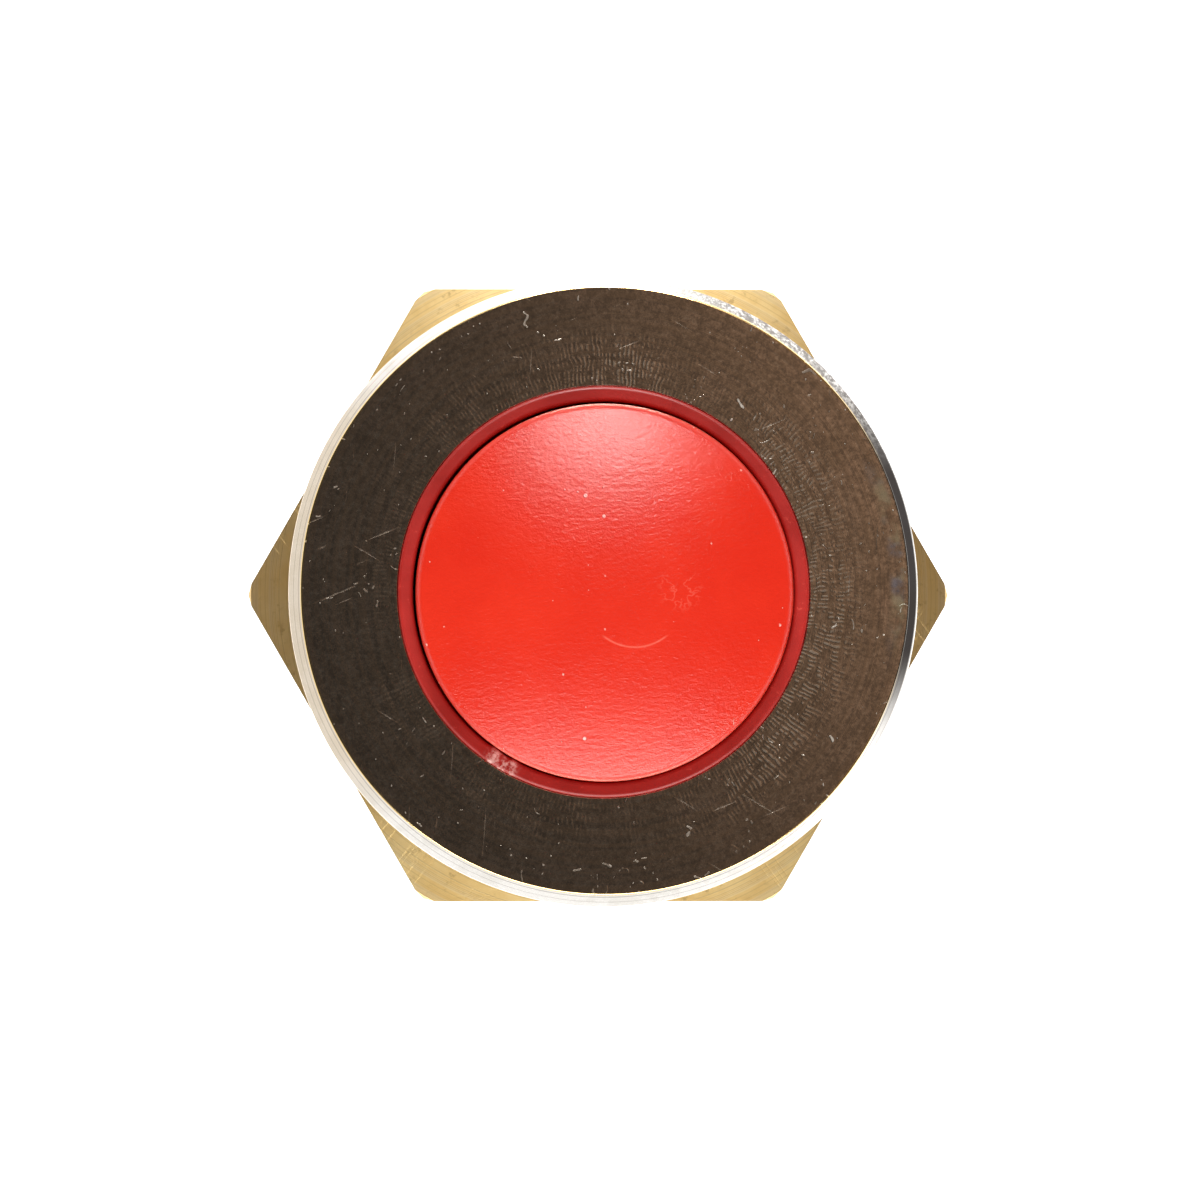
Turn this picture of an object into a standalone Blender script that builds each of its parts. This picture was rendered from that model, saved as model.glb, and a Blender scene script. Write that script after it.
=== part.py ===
"""Panel-mount push button: a domed plastic plunger in a plated brass bushing with a round flange,
clamped through a panel by a hex nut, and a normally open double-break contact behind it.

Frame: +Z is the way the button faces, Z = 0 is the panel's front face, the Z axis is the button's axis.
"""

import bmesh
import bpy
from math import atan2, cos, degrees, pi, radians, sin, sqrt, tan
from mathutils import Vector

MM = 0.001

# Driving dimensions ---------------------------------------------------------------------------

# Fits
SEAT_GAP = 0.05 * MM  # between two pieces that rest on or in each other
RUNNING_GAP = 0.08 * MM  # around a piece that slides
MERGE = 0.001 * MM

# Bushing: M16 x 1 barrel under a round flange
THREAD_DIAMETER = 16.0 * MM
THREAD_PITCH = 1.0 * MM
THREAD_DEPTH = 0.6134 * THREAD_PITCH  # external metric thread, crest to root
FLANGE_OVERHANG = 1.0 * MM  # beyond the thread, all round
FLANGE_THICKNESS = 2.0 * MM
FLANGE_CHAMFER = 0.32 * MM
RELIEF_DEPTH = 0.8 * MM  # radial depth of the plain neck under the flange
RELIEF_LENGTH = 1.5 * MM
BARREL_WALL = 0.9 * MM  # thread root to bore
SHOULDER_WIDTH = 0.6 * MM  # step in the bore that holds the sleeve's flange
SHOULDER_DEPTH = 4.9 * MM  # flange face to that step
RING_GROOVE_DEPTH = 0.4 * MM
END_LIP = 0.85 * MM  # barrel beyond the retaining ring's groove

# Panel hardware
GASKET_THICKNESS = 0.75 * MM
GASKET_INSET = 0.2 * MM  # gasket's edge inside the flange's edge
NUT_WALL = 1.0 * MM  # thread to flat
NUT_THICKNESS = 3.0 * MM
NUT_CHAMFER = 0.45 * MM  # width of the turned chamfer, measured in from the corners
PANEL_ROOM = 3.0 * MM  # gasket to nut as assembled
NUT_BORE_GAP = 0.15 * MM  # the nut's bore is plain, clear of the barrel's thread

# Button and its sleeve
RING_WALL = 0.35 * MM  # sleeve around the button
LIP_RISE = 0.06 * MM  # sleeve proud of the flange face
LIP_ROUND = 0.10 * MM
SLEEVE_FLANGE_THICKNESS = 1.5 * MM
SLEEVE_GASKET_THICKNESS = 0.45 * MM
HUB_HEIGHT = 2.2 * MM
HUB_WALL = 0.7 * MM
TRAVEL = 2.0 * MM
SKIRT_SPARE = 0.2 * MM  # left under the skirt when fully pressed
BUTTON_RISE = 1.2 * MM  # flange face to the edge of the dome
BUTTON_CROWN = 1.1 * MM  # edge of the dome to its top
BUTTON_EDGE_ROUND = 0.30 * MM
ROOF_THICKNESS = 1.9 * MM
BOSS_RADIUS = 2.3 * MM
BOSS_ABOVE_HUB = 1.3 * MM

# Stem
PIN_RADIUS = 1.3 * MM
PIN_LENGTH = 2.0 * MM
COLLAR_RADIUS = 2.5 * MM
COLLAR_LENGTH = 3.4 * MM
O_RING_SECTION = 0.6 * MM  # diameter of the ring's cord
O_RING_PROUD = 0.03 * MM
O_RING_BELOW_HUB_TOP = 0.8 * MM
SHAFT_RADIUS = 1.8 * MM
SHAFT_BELOW_CLIP = 0.6 * MM
TAIL_RADIUS = 1.1 * MM
TAIL_BELOW_CLIP = 0.4 * MM
CLIP_THICKNESS = 0.5 * MM
CLIP_GROOVE_DEPTH = 0.4 * MM
STEM_CLIP_WIDTH = 1.5 * MM  # clip beyond the shaft
TAIL_CLIP_WIDTH = 0.9 * MM
CLIP_MOUTH = radians(60)

# Springs
DEAD_PITCH = 1.15  # closed end turns, in wire diameters
RETURN_WIRE = 0.5 * MM
RETURN_TURNS = 5.5
RETURN_SPRING_GAP = 0.3133 * MM  # coil to the sleeve's hub, and to the cap's skirt
CONTACT_WIRE = 0.3 * MM
CONTACT_TURNS = 4.5
CONTACT_SPRING_GAP = 0.35 * MM  # coil to tail
CONTACT_SPRING_ROOM = 2.8 * MM

# Contacts
HOUSING_WALL = 1.0 * MM
CLIP_ROOM = 0.5 * MM  # below the stem clip when pressed
CONTACT_OPENING = 1.5 * MM  # between the tips at rest
CLOSED_GAP = 0.1 * MM  # left between the tips when pressed
STRIP_THICKNESS = 0.5 * MM
BRIDGE_WIDTH = 3.0 * MM
BRIDGE_END = 0.9 * MM  # bridge beyond a tip's axis
SLOT_GAP = 0.25 * MM
TIP_HEAD_RADIUS = 0.9 * MM
TIP_HEAD = 0.4 * MM
TIP_SHANK_RADIUS = 0.5 * MM
TIP_UPSET_RADIUS = 0.75 * MM
TIP_UPSET = 0.2 * MM
TIP_TO_CLIP = 0.0366 * MM  # head of a tip to the clip on the stem's tail
BRIDGE_CORNER = 0.4 * MM
ARM_INSET = 0.15 * MM  # arm's end inside the edge of its tip

# Terminals and base
TAB_WIDTH = 2.8 * MM
TAB_LENGTH = 6.4 * MM  # beyond the base
TAB_HOLE_RADIUS = 0.6 * MM
TAB_HOLE_FROM_END = 1.7 * MM
TAB_STEP = 0.10 * MM  # tab's outer face beyond the thinner blade inside the base
TAB_POINT = 0.5 * MM
TAB_TO_WALL = 0.8 * MM  # blade to the housing's bore
BEND_RADIUS = 0.10 * MM  # inside the strip's bend
BASE_FLANGE_THICKNESS = 1.2 * MM
NECK_INSET = 0.55 * MM  # base's neck inside its flange
NECK_BELOW_BARREL = 3.3 * MM
TAIL_POCKET_GAP = 0.5 * MM
TAIL_POCKET_DEPTH = 1.2 * MM
POTTING_DEPTH = 1.5 * MM
POTTING_WALL = 0.8 * MM
POTTING_RECESS = 0.3 * MM
RETAINER_THICKNESS = 0.5 * MM
RETAINER_WIDTH = 0.85 * MM
RETAINER_MOUTH = radians(28)

# Mesh fineness
ROUND_STEPS = 48
SMALL_STEPS = 24
TIP_STEPS = 16
THREAD_STEPS = 24
COIL_STEPS = 14
SHARP_ANGLE = radians(30)
CUTTER_TURN = radians(2.3)  # keeps a cutter's edges off those of the piece it cuts

# Radii that follow ----------------------------------------------------------------------------

THREAD_RADIUS = THREAD_DIAMETER / 2
ROOT_RADIUS = THREAD_RADIUS - THREAD_DEPTH
FLANGE_RADIUS = THREAD_RADIUS + FLANGE_OVERHANG
REAR_BORE = ROOT_RADIUS - BARREL_WALL
FRONT_BORE = REAR_BORE - SHOULDER_WIDTH
SLEEVE_RADIUS = FRONT_BORE - SEAT_GAP
GUIDE_BORE = SLEEVE_RADIUS - RING_WALL
BUTTON_RADIUS = GUIDE_BORE - RUNNING_GAP
FIT_RADIUS = REAR_BORE - SEAT_GAP  # everything that fills the rear bore
HUB_BORE = COLLAR_RADIUS + RUNNING_GAP
HUB_RADIUS = HUB_BORE + HUB_WALL
SPRING_RADIUS = HUB_RADIUS + RETURN_SPRING_GAP + RETURN_WIRE / 2  # mean, of the return spring
SKIRT_BORE = SPRING_RADIUS + RETURN_WIRE / 2 + RETURN_SPRING_GAP
HOUSING_BORE = FIT_RADIUS - HOUSING_WALL
BLADE_OUTSIDE = HOUSING_BORE - TAB_TO_WALL
BLADE_INSIDE = BLADE_OUTSIDE - STRIP_THICKNESS
TIP_X = TAIL_RADIUS + TAIL_CLIP_WIDTH + TIP_TO_CLIP + TIP_HEAD_RADIUS
NECK_RADIUS = FIT_RADIUS - NECK_INSET
POTTING_BORE = NECK_RADIUS - POTTING_WALL
NUT_BORE = THREAD_RADIUS + NUT_BORE_GAP
NUT_FLAT = THREAD_RADIUS + NUT_WALL
NUT_CORNER = NUT_FLAT / cos(pi / 6)

# Heights that follow, from the front to the back -------------------------------------------------

FLANGE_BACK = GASKET_THICKNESS + SEAT_GAP
FACE = FLANGE_BACK + FLANGE_THICKNESS
BUTTON_EDGE = FACE + BUTTON_RISE
CROWN = BUTTON_EDGE + BUTTON_CROWN
ROOF = CROWN - ROOF_THICKNESS
THREAD_TOP = FLANGE_BACK - RELIEF_LENGTH
NUT_FRONT = -PANEL_ROOM
SHOULDER = FACE - SHOULDER_DEPTH
SLEEVE_GASKET_TOP = SHOULDER - SEAT_GAP
SLEEVE_GASKET_BOTTOM = SLEEVE_GASKET_TOP - SLEEVE_GASKET_THICKNESS
FLOOR = SLEEVE_GASKET_BOTTOM - SEAT_GAP  # sleeve's floor and the top of its flange
SLEEVE_BOTTOM = FLOOR - SLEEVE_FLANGE_THICKNESS
HUB_TOP = FLOOR + HUB_HEIGHT
SKIRT_BOTTOM = FLOOR + TRAVEL + SKIRT_SPARE
BOSS_BOTTOM = HUB_TOP + BOSS_ABOVE_HUB
COLLAR_TOP = BOSS_BOTTOM - SEAT_GAP
COLLAR_BOTTOM = COLLAR_TOP - COLLAR_LENGTH
O_RING_Z = HUB_TOP - O_RING_BELOW_HUB_TOP
STEM_CLIP_TOP = SLEEVE_BOTTOM - SEAT_GAP
STEM_SHOULDER = STEM_CLIP_TOP - CLIP_THICKNESS - SHAFT_BELOW_CLIP
BRIDGE_TOP = STEM_SHOULDER - CONTACT_SPRING_ROOM
BRIDGE_BOTTOM = BRIDGE_TOP - STRIP_THICKNESS
BRIDGE_TIP = BRIDGE_BOTTOM - SEAT_GAP - TIP_HEAD
TAIL_CLIP_TOP = BRIDGE_BOTTOM - SEAT_GAP
STEM_END = TAIL_CLIP_TOP - CLIP_THICKNESS - TAIL_BELOW_CLIP
FIXED_TIP = BRIDGE_TIP - CONTACT_OPENING - CLOSED_GAP
ARM_TOP = FIXED_TIP - TIP_HEAD - SEAT_GAP
ARM_BOTTOM = ARM_TOP - STRIP_THICKNESS
BASE_TOP = ARM_BOTTOM - SEAT_GAP
HOUSING_TOP = SLEEVE_BOTTOM - SEAT_GAP
HOUSING_BOTTOM = BASE_TOP + SEAT_GAP
CLIP_ROOM_BOTTOM = STEM_CLIP_TOP - CLIP_THICKNESS - TRAVEL - CLIP_ROOM
BASE_FLANGE_BOTTOM = BASE_TOP - BASE_FLANGE_THICKNESS
RETAINER_TOP = BASE_FLANGE_BOTTOM - SEAT_GAP
RETAINER_BOTTOM = RETAINER_TOP - RETAINER_THICKNESS
BARREL_END = RETAINER_BOTTOM - SEAT_GAP - END_LIP
BASE_BOTTOM = BARREL_END - NECK_BELOW_BARREL
TAB_END = BASE_BOTTOM - TAB_LENGTH


# Tools ----------------------------------------------------------------------------------------

def clear_scene():
    for obj in list(bpy.data.objects):
        bpy.data.objects.remove(obj)


def new_collection(name):
    made = bpy.data.collections.new(name)
    bpy.context.scene.collection.children.link(made)
    return made


def finish(name, colour, roughness, metallic=0.0):
    """A material with this colour, roughness and metallic value."""
    made = bpy.data.materials.new(name)
    made.use_nodes = True
    shader = made.node_tree.nodes["Principled BSDF"]
    shader.inputs["Base Color"].default_value = (*colour, 1.0)
    shader.inputs["Roughness"].default_value = roughness
    shader.inputs["Metallic"].default_value = metallic
    made.diffuse_color = (*colour, 1.0)
    return made


def add(name, data, material=None):
    """An object in the push button's collection, or in the cutters' one if it has no material."""
    obj = bpy.data.objects.new(name, data)
    if material:
        PARTS.objects.link(obj)
        data.materials.append(material)
    else:
        CUTTERS.objects.link(obj)
        obj.hide_render = True
        obj.display_type = "WIRE"
    return obj


def arc(centre, radius, start, end, steps=6):
    """Points (radius, height) along an arc; angles in degrees, 0 pointing outwards and 90 up."""
    angles = [radians(start + (end - start) * i / steps) for i in range(steps + 1)]
    return [(centre[0] + radius * cos(a), centre[1] + radius * sin(a)) for a in angles]


def turned(name, outline, material=None, steps=ROUND_STEPS, closed=True, pitch=0.0, turns=1, x=0.0):
    """A profile of (radius, height) points turned about Z. It runs down the outer side first.
    An open profile starts and ends on the axis. With a pitch, it climbs as a thread does."""
    mesh = bpy.data.meshes.new(name)
    points = [(radius, 0, height) for radius, height in outline]
    edges = [(i, i + 1) for i in range(len(points) - 1)]
    if closed:
        edges.append((len(points) - 1, 0))
    mesh.from_pydata(points, edges, [])
    obj = add(name, mesh, material)
    obj.location.x = x
    screw = obj.modifiers.new("Turn", "SCREW")
    screw.steps = screw.render_steps = steps
    screw.screw_offset = pitch
    screw.iterations = turns
    screw.use_merge_vertices = True
    screw.merge_threshold = MERGE
    screw.use_smooth_shade = False
    return obj


def ring(name, inner, outer, top, bottom, material=None, steps=ROUND_STEPS):
    outline = [(inner, top), (outer, top), (outer, bottom), (inner, bottom)]
    return turned(name, outline, material, steps)


def cylinder(name, radius, top, bottom, material=None, steps=ROUND_STEPS, x=0.0):
    mesh = bpy.data.meshes.new(name)
    maker = bmesh.new()
    bmesh.ops.create_cone(maker, cap_ends=True, segments=steps, radius1=radius, radius2=radius,
                          depth=top - bottom)
    maker.to_mesh(mesh)
    maker.free()
    obj = add(name, mesh, material)
    obj.location = (x, 0, (top + bottom) / 2)
    return obj


def box(name, low, high):
    """A cutter between two corners."""
    mesh = bpy.data.meshes.new(name)
    maker = bmesh.new()
    bmesh.ops.create_cube(maker, size=1)
    low, high = Vector(low), Vector(high)
    bmesh.ops.scale(maker, vec=high - low, verts=maker.verts)
    bmesh.ops.translate(maker, vec=(low + high) / 2, verts=maker.verts)
    maker.to_mesh(mesh)
    maker.free()
    return add(name, mesh)


def circle(radius, steps, x=0.0, y=0.0):
    angles = [2 * pi * i / steps for i in range(steps)]
    return [(x + radius * cos(a), y + radius * sin(a)) for a in angles]


def extruded(name, outlines, thickness, material=None, turn=(0, 0, 0), height=0.0):
    """A plate from closed outlines of (x, y) points; the second and later ones are holes. It is
    centred on its own plane, then turned and set at a height."""
    curve = bpy.data.curves.new(name, "CURVE")
    curve.dimensions = "2D"
    curve.fill_mode = "BOTH"
    curve.extrude = thickness / 2
    for outline in outlines:
        spline = curve.splines.new("POLY")
        spline.points.add(len(outline) - 1)
        for point, (x, y) in zip(spline.points, outline):
            point.co = (x, y, 0, 1)
        spline.use_cyclic_u = True
    obj = add(name, curve, material)
    obj.rotation_euler = turn
    obj.location.z = height
    return as_mesh(obj)


def as_mesh(obj):
    """The same object as a plain closed mesh."""
    bpy.context.view_layer.update()
    graph = bpy.context.evaluated_depsgraph_get()
    mesh = bpy.data.meshes.new_from_object(obj.evaluated_get(graph))
    weld_closed(mesh)
    made = bpy.data.objects.new("converted", mesh)
    made.matrix_world = obj.matrix_world
    made.hide_render = obj.hide_render
    made.display_type = obj.display_type
    for collection in obj.users_collection:
        collection.objects.link(made)
    name = obj.name
    bpy.data.objects.remove(obj)
    made.name = name
    return made


def weld_closed(mesh):
    maker = bmesh.new()
    maker.from_mesh(mesh)
    bmesh.ops.remove_doubles(maker, verts=maker.verts, dist=MERGE)
    bmesh.ops.recalc_face_normals(maker, faces=maker.faces)
    maker.to_mesh(mesh)
    maker.free()


def shade_round(obj):
    """The same object as a plain mesh, smooth but for its sharp edges."""
    made = as_mesh(obj)
    made.data.shade_smooth()
    made.data.set_sharp_from_angle(angle=SHARP_ANGLE)
    return made


def carried(name, pieces):
    """An empty on the button's axis that carries a moving body's pieces."""
    carrier = bpy.data.objects.new(name, None)
    carrier.empty_display_size = FLANGE_RADIUS
    PARTS.objects.link(carrier)
    for obj in pieces:
        obj.parent = carrier


def boolean(obj, other, operation):
    modifier = obj.modifiers.new(f"{operation.title()} {other.name}", "BOOLEAN")
    modifier.object = other
    modifier.operation = operation
    return obj


def coil(name, mean_radius, wire, turns, top, bottom, material):
    """A compression spring with one closed turn at each end."""
    curve = bpy.data.curves.new(name, "CURVE")
    curve.dimensions = "3D"
    curve.bevel_depth = wire / 2
    curve.bevel_resolution = 2
    curve.use_fill_caps = True
    dead = wire * DEAD_PITCH
    climb = (top - bottom - wire - 2 * dead) / (turns - 2)
    count = round(turns * COIL_STEPS)
    spline = curve.splines.new("POLY")
    spline.points.add(count)
    for i, point in enumerate(spline.points):
        turn = i / COIL_STEPS
        active = min(max(turn - 1, 0), turns - 2)
        height = bottom + wire / 2 + climb * active + dead * (turn - active)
        angle = 2 * pi * turn
        point.co = (mean_radius * cos(angle), mean_radius * sin(angle), height, 1)
    return as_mesh(add(name, curve, material))


def snap_ring(name, inner, outer, mouth, thickness, top, material, facing=0.0, steps=SMALL_STEPS):
    """A flat C-shaped ring, open towards an angle about Z."""
    angles = [facing + mouth / 2 + (2 * pi - mouth) * i / steps for i in range(steps + 1)]
    outline = [(outer * cos(a), outer * sin(a)) for a in angles]
    outline += [(inner * cos(a), inner * sin(a)) for a in reversed(angles)]
    return extruded(name, [outline], thickness, material, height=top - thickness / 2)


# Bushing and panel hardware ---------------------------------------------------------------------

def thread_blank():
    """The barrel's thread: one pitch of the profile turned as a helix, cut flat at both ends, with
    a 45 degree chamfer where a nut starts."""
    half_crest = THREAD_PITCH / 16
    half_root = THREAD_PITCH / 8
    start = BARREL_END - 2 * THREAD_PITCH
    profile = [
        (ROOT_RADIUS, start + THREAD_PITCH),
        (ROOT_RADIUS, start + THREAD_PITCH - half_root),
        (THREAD_RADIUS, start + THREAD_PITCH / 2 + half_crest),
        (THREAD_RADIUS, start + THREAD_PITCH / 2 - half_crest),
        (ROOT_RADIUS, start + half_root),
        (ROOT_RADIUS, start),
    ]
    turns = int((THREAD_TOP - BARREL_END) / THREAD_PITCH) + 4
    thread = as_mesh(turned("thread", profile, None, THREAD_STEPS, False, THREAD_PITCH, turns))
    maker = bmesh.new()
    maker.from_mesh(thread.data)
    for height, side in ((BARREL_END, -1), (THREAD_TOP, 1)):
        bmesh.ops.bisect_plane(maker, geom=maker.verts[:] + maker.edges[:] + maker.faces[:],
                               dist=MERGE / 10, plane_co=(0, 0, height), plane_no=(0, 0, side),
                               clear_outer=True)
        rim = [e for e in maker.edges if all(abs(v.co.z - height) < MERGE for v in e.verts)]
        bmesh.ops.edgenet_fill(maker, edges=[e for e in rim if e.is_boundary])
    bmesh.ops.recalc_face_normals(maker, faces=maker.faces)
    maker.to_mesh(thread.data)
    maker.free()
    small = ROOT_RADIUS - THREAD_DEPTH / 4
    large = THREAD_RADIUS + THREAD_DEPTH
    rise = large - small
    over = THREAD_PITCH
    envelope = turned("thread_envelope", [
        (0, THREAD_TOP + over), (small - over, THREAD_TOP + over), (large, THREAD_TOP - rise),
        (large, BARREL_END + rise), (small - over, BARREL_END - over), (0, BARREL_END - over),
    ], closed=False)
    envelope.rotation_euler.z = CUTTER_TURN
    return boolean(thread, envelope, "INTERSECT")


def bezel_bushing(material):
    """Turned and plated: round flange, relief, threaded barrel, stepped bore, ring groove."""
    relief = THREAD_RADIUS - RELIEF_DEPTH
    relief_end = THREAD_TOP - THREAD_PITCH / 2
    edge = FLANGE_CHAMFER / 2
    bushing = turned("bezel_bushing", [
        (0, FACE), (FLANGE_RADIUS - FLANGE_CHAMFER, FACE), (FLANGE_RADIUS, FACE - FLANGE_CHAMFER),
        (FLANGE_RADIUS, FLANGE_BACK + edge), (FLANGE_RADIUS - edge, FLANGE_BACK),
        (relief, FLANGE_BACK), (relief, relief_end), (0, relief_end),
    ], material, closed=False)
    groove = REAR_BORE + RING_GROOVE_DEPTH
    groove_top = RETAINER_TOP + SEAT_GAP
    groove_bottom = RETAINER_BOTTOM - SEAT_GAP
    over = THREAD_PITCH
    bore = turned("bushing_bore", [
        (0, FACE + over), (FRONT_BORE, FACE + over), (FRONT_BORE, SHOULDER), (REAR_BORE, SHOULDER),
        (REAR_BORE, groove_top), (groove, groove_top), (groove, groove_bottom),
        (REAR_BORE, groove_bottom), (REAR_BORE, BARREL_END - over), (0, BARREL_END - over),
    ], closed=False)
    boolean(bushing, thread_blank(), "UNION")
    return boolean(bushing, bore, "DIFFERENCE")


def panel_gasket(material):
    inner = THREAD_RADIUS + NUT_BORE_GAP
    return ring("panel_gasket", inner, FLANGE_RADIUS - GASKET_INSET, GASKET_THICKNESS, 0, material)


def lock_nut(material):
    """Hex nut with flats towards +Y and -Y and a turned chamfer on both faces. Its bore is plain."""
    corners = circle(NUT_CORNER, 6)
    nut = extruded("lock_nut", [corners], NUT_THICKNESS, material, height=NUT_FRONT - NUT_THICKNESS / 2)
    back = NUT_FRONT - NUT_THICKNESS
    over = NUT_CHAMFER
    face = NUT_CORNER - NUT_CHAMFER
    run = (NUT_CHAMFER + over) * tan(radians(30))
    envelope = turned("nut_envelope", [
        (NUT_BORE, NUT_FRONT + over), (face, NUT_FRONT + over), (face, NUT_FRONT),
        (NUT_CORNER + over, NUT_FRONT - run), (NUT_CORNER + over, back + run),
        (face, back), (face, back - over), (NUT_BORE, back - over),
    ])
    envelope.rotation_euler.z = CUTTER_TURN
    return boolean(nut, envelope, "INTERSECT")


# Button and sleeve --------------------------------------------------------------------------------

def guide_sleeve(material):
    """Moulded sleeve: the coloured ring round the button, a floor, and a hub that guides the stem."""
    top = FACE + LIP_RISE
    round_z = top - LIP_ROUND
    outline = arc((SLEEVE_RADIUS - LIP_ROUND, round_z), LIP_ROUND, 90, 0, 3)
    outline += [
        (SLEEVE_RADIUS, FLOOR), (FIT_RADIUS, FLOOR), (FIT_RADIUS, SLEEVE_BOTTOM),
        (HUB_BORE, SLEEVE_BOTTOM), (HUB_BORE, HUB_TOP), (HUB_RADIUS, HUB_TOP),
        (HUB_RADIUS, FLOOR), (GUIDE_BORE, FLOOR),
    ]
    outline += arc((GUIDE_BORE + LIP_ROUND, round_z), LIP_ROUND, 180, 90, 3)
    return turned("guide_sleeve", outline, material)


def sleeve_gasket(material):
    return ring("sleeve_gasket", SLEEVE_RADIUS + SEAT_GAP, FIT_RADIUS, SLEEVE_GASKET_TOP,
                SLEEVE_GASKET_BOTTOM, material)


def button_cap(material):
    """Moulded cap: a shallow dome, a skirt that slides in the sleeve, and a boss for the stem."""
    dome = (BUTTON_RADIUS ** 2 + BUTTON_CROWN ** 2) / (2 * BUTTON_CROWN)
    dome_z = CROWN - dome
    round_x = BUTTON_RADIUS - BUTTON_EDGE_ROUND
    above = sqrt((dome - BUTTON_EDGE_ROUND) ** 2 - round_x ** 2)
    meet = degrees(atan2(above, round_x))
    hole = PIN_RADIUS + SEAT_GAP
    hole_top = COLLAR_TOP + PIN_LENGTH + SEAT_GAP
    outline = [(0, CROWN)]
    outline += arc((0, dome_z), dome, 90, meet, 9)[1:-1]
    outline += arc((round_x, dome_z + above), BUTTON_EDGE_ROUND, meet, 0, 5)
    outline += [
        (BUTTON_RADIUS, SKIRT_BOTTOM), (SKIRT_BORE, SKIRT_BOTTOM), (SKIRT_BORE, ROOF),
        (BOSS_RADIUS, ROOF), (BOSS_RADIUS, BOSS_BOTTOM), (hole, BOSS_BOTTOM), (hole, hole_top),
        (0, hole_top),
    ]
    return turned("button_cap", outline, material, closed=False)


# Stem ---------------------------------------------------------------------------------------------

def groove(radius, depth, top, bottom):
    """Profile points of a square groove going down a shaft."""
    return [(radius, top), (radius - depth, top), (radius - depth, bottom), (radius, bottom)]


def plunger_stem(material):
    """Turned stem: pin in the cap's boss, sealed collar in the sleeve's hub, shaft and tail."""
    pin_top = COLLAR_TOP + PIN_LENGTH
    pin_edge = PIN_RADIUS / 5
    cord = O_RING_SECTION / 2 + SEAT_GAP
    ring_depth = O_RING_SECTION + SEAT_GAP - O_RING_PROUD
    outline = [
        (0, pin_top), (PIN_RADIUS - pin_edge, pin_top), (PIN_RADIUS, pin_top - pin_edge),
        (PIN_RADIUS, COLLAR_TOP), (COLLAR_RADIUS, COLLAR_TOP),
    ]
    outline += groove(COLLAR_RADIUS, ring_depth, O_RING_Z + cord, O_RING_Z - cord)
    outline += [(COLLAR_RADIUS, COLLAR_BOTTOM), (SHAFT_RADIUS, COLLAR_BOTTOM)]
    outline += groove(SHAFT_RADIUS, CLIP_GROOVE_DEPTH, STEM_CLIP_TOP + SEAT_GAP,
                      STEM_CLIP_TOP - CLIP_THICKNESS - SEAT_GAP)
    outline += [(SHAFT_RADIUS, STEM_SHOULDER), (TAIL_RADIUS, STEM_SHOULDER)]
    outline += groove(TAIL_RADIUS, CLIP_GROOVE_DEPTH, TAIL_CLIP_TOP + SEAT_GAP,
                      TAIL_CLIP_TOP - CLIP_THICKNESS - SEAT_GAP)
    outline += [(TAIL_RADIUS, STEM_END), (0, STEM_END)]
    return turned("plunger_stem", outline, material, SMALL_STEPS, closed=False)


def stem_seal_ring(material):
    cord = O_RING_SECTION / 2
    bpy.ops.mesh.primitive_torus_add(major_segments=SMALL_STEPS, minor_segments=10,
                                     major_radius=COLLAR_RADIUS + O_RING_PROUD - cord,
                                     minor_radius=cord, location=(0, 0, O_RING_Z))
    torus = bpy.context.object
    made = add("stem_seal_ring", torus.data, material)
    made.location = torus.location
    bpy.data.objects.remove(torus)
    return made


def stem_clip(material):
    inner = SHAFT_RADIUS - CLIP_GROOVE_DEPTH + SEAT_GAP
    return snap_ring("stem_clip", inner, SHAFT_RADIUS + STEM_CLIP_WIDTH, CLIP_MOUTH, CLIP_THICKNESS,
                     STEM_CLIP_TOP, material)


def bridge_clip(material):
    inner = TAIL_RADIUS - CLIP_GROOVE_DEPTH + SEAT_GAP
    return snap_ring("bridge_clip", inner, TAIL_RADIUS + TAIL_CLIP_WIDTH, CLIP_MOUTH, CLIP_THICKNESS,
                     TAIL_CLIP_TOP, material, pi / 2)


def return_spring(material):
    return coil("return_spring", SPRING_RADIUS, RETURN_WIRE, RETURN_TURNS, ROOF - SEAT_GAP,
                FLOOR + SEAT_GAP, material)


def contact_spring(material):
    mean = TAIL_RADIUS + CONTACT_SPRING_GAP + CONTACT_WIRE / 2
    return coil("contact_spring", mean, CONTACT_WIRE, CONTACT_TURNS, STEM_SHOULDER - SEAT_GAP,
                BRIDGE_TOP + SEAT_GAP, material)


# Contacts -----------------------------------------------------------------------------------------

def contact_bridge(material):
    """Copper strip with a hole for the stem's tail and one for each tip's rivet."""
    long = TIP_X + BRIDGE_END
    wide = BRIDGE_WIDTH / 2
    cut = BRIDGE_CORNER
    outline = [(long - cut, -wide), (long, cut - wide), (long, wide - cut), (long - cut, wide),
               (cut - long, wide), (-long, wide - cut), (-long, cut - wide), (cut - long, -wide)]
    holes = [circle(TAIL_RADIUS + RUNNING_GAP, SMALL_STEPS)]
    holes += [circle(TIP_SHANK_RADIUS + SEAT_GAP, TIP_STEPS, x) for x in (-TIP_X, TIP_X)]
    return extruded("contact_bridge", [outline] + holes, STRIP_THICKNESS, material,
                    height=(BRIDGE_TOP + BRIDGE_BOTTOM) / 2)


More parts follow.
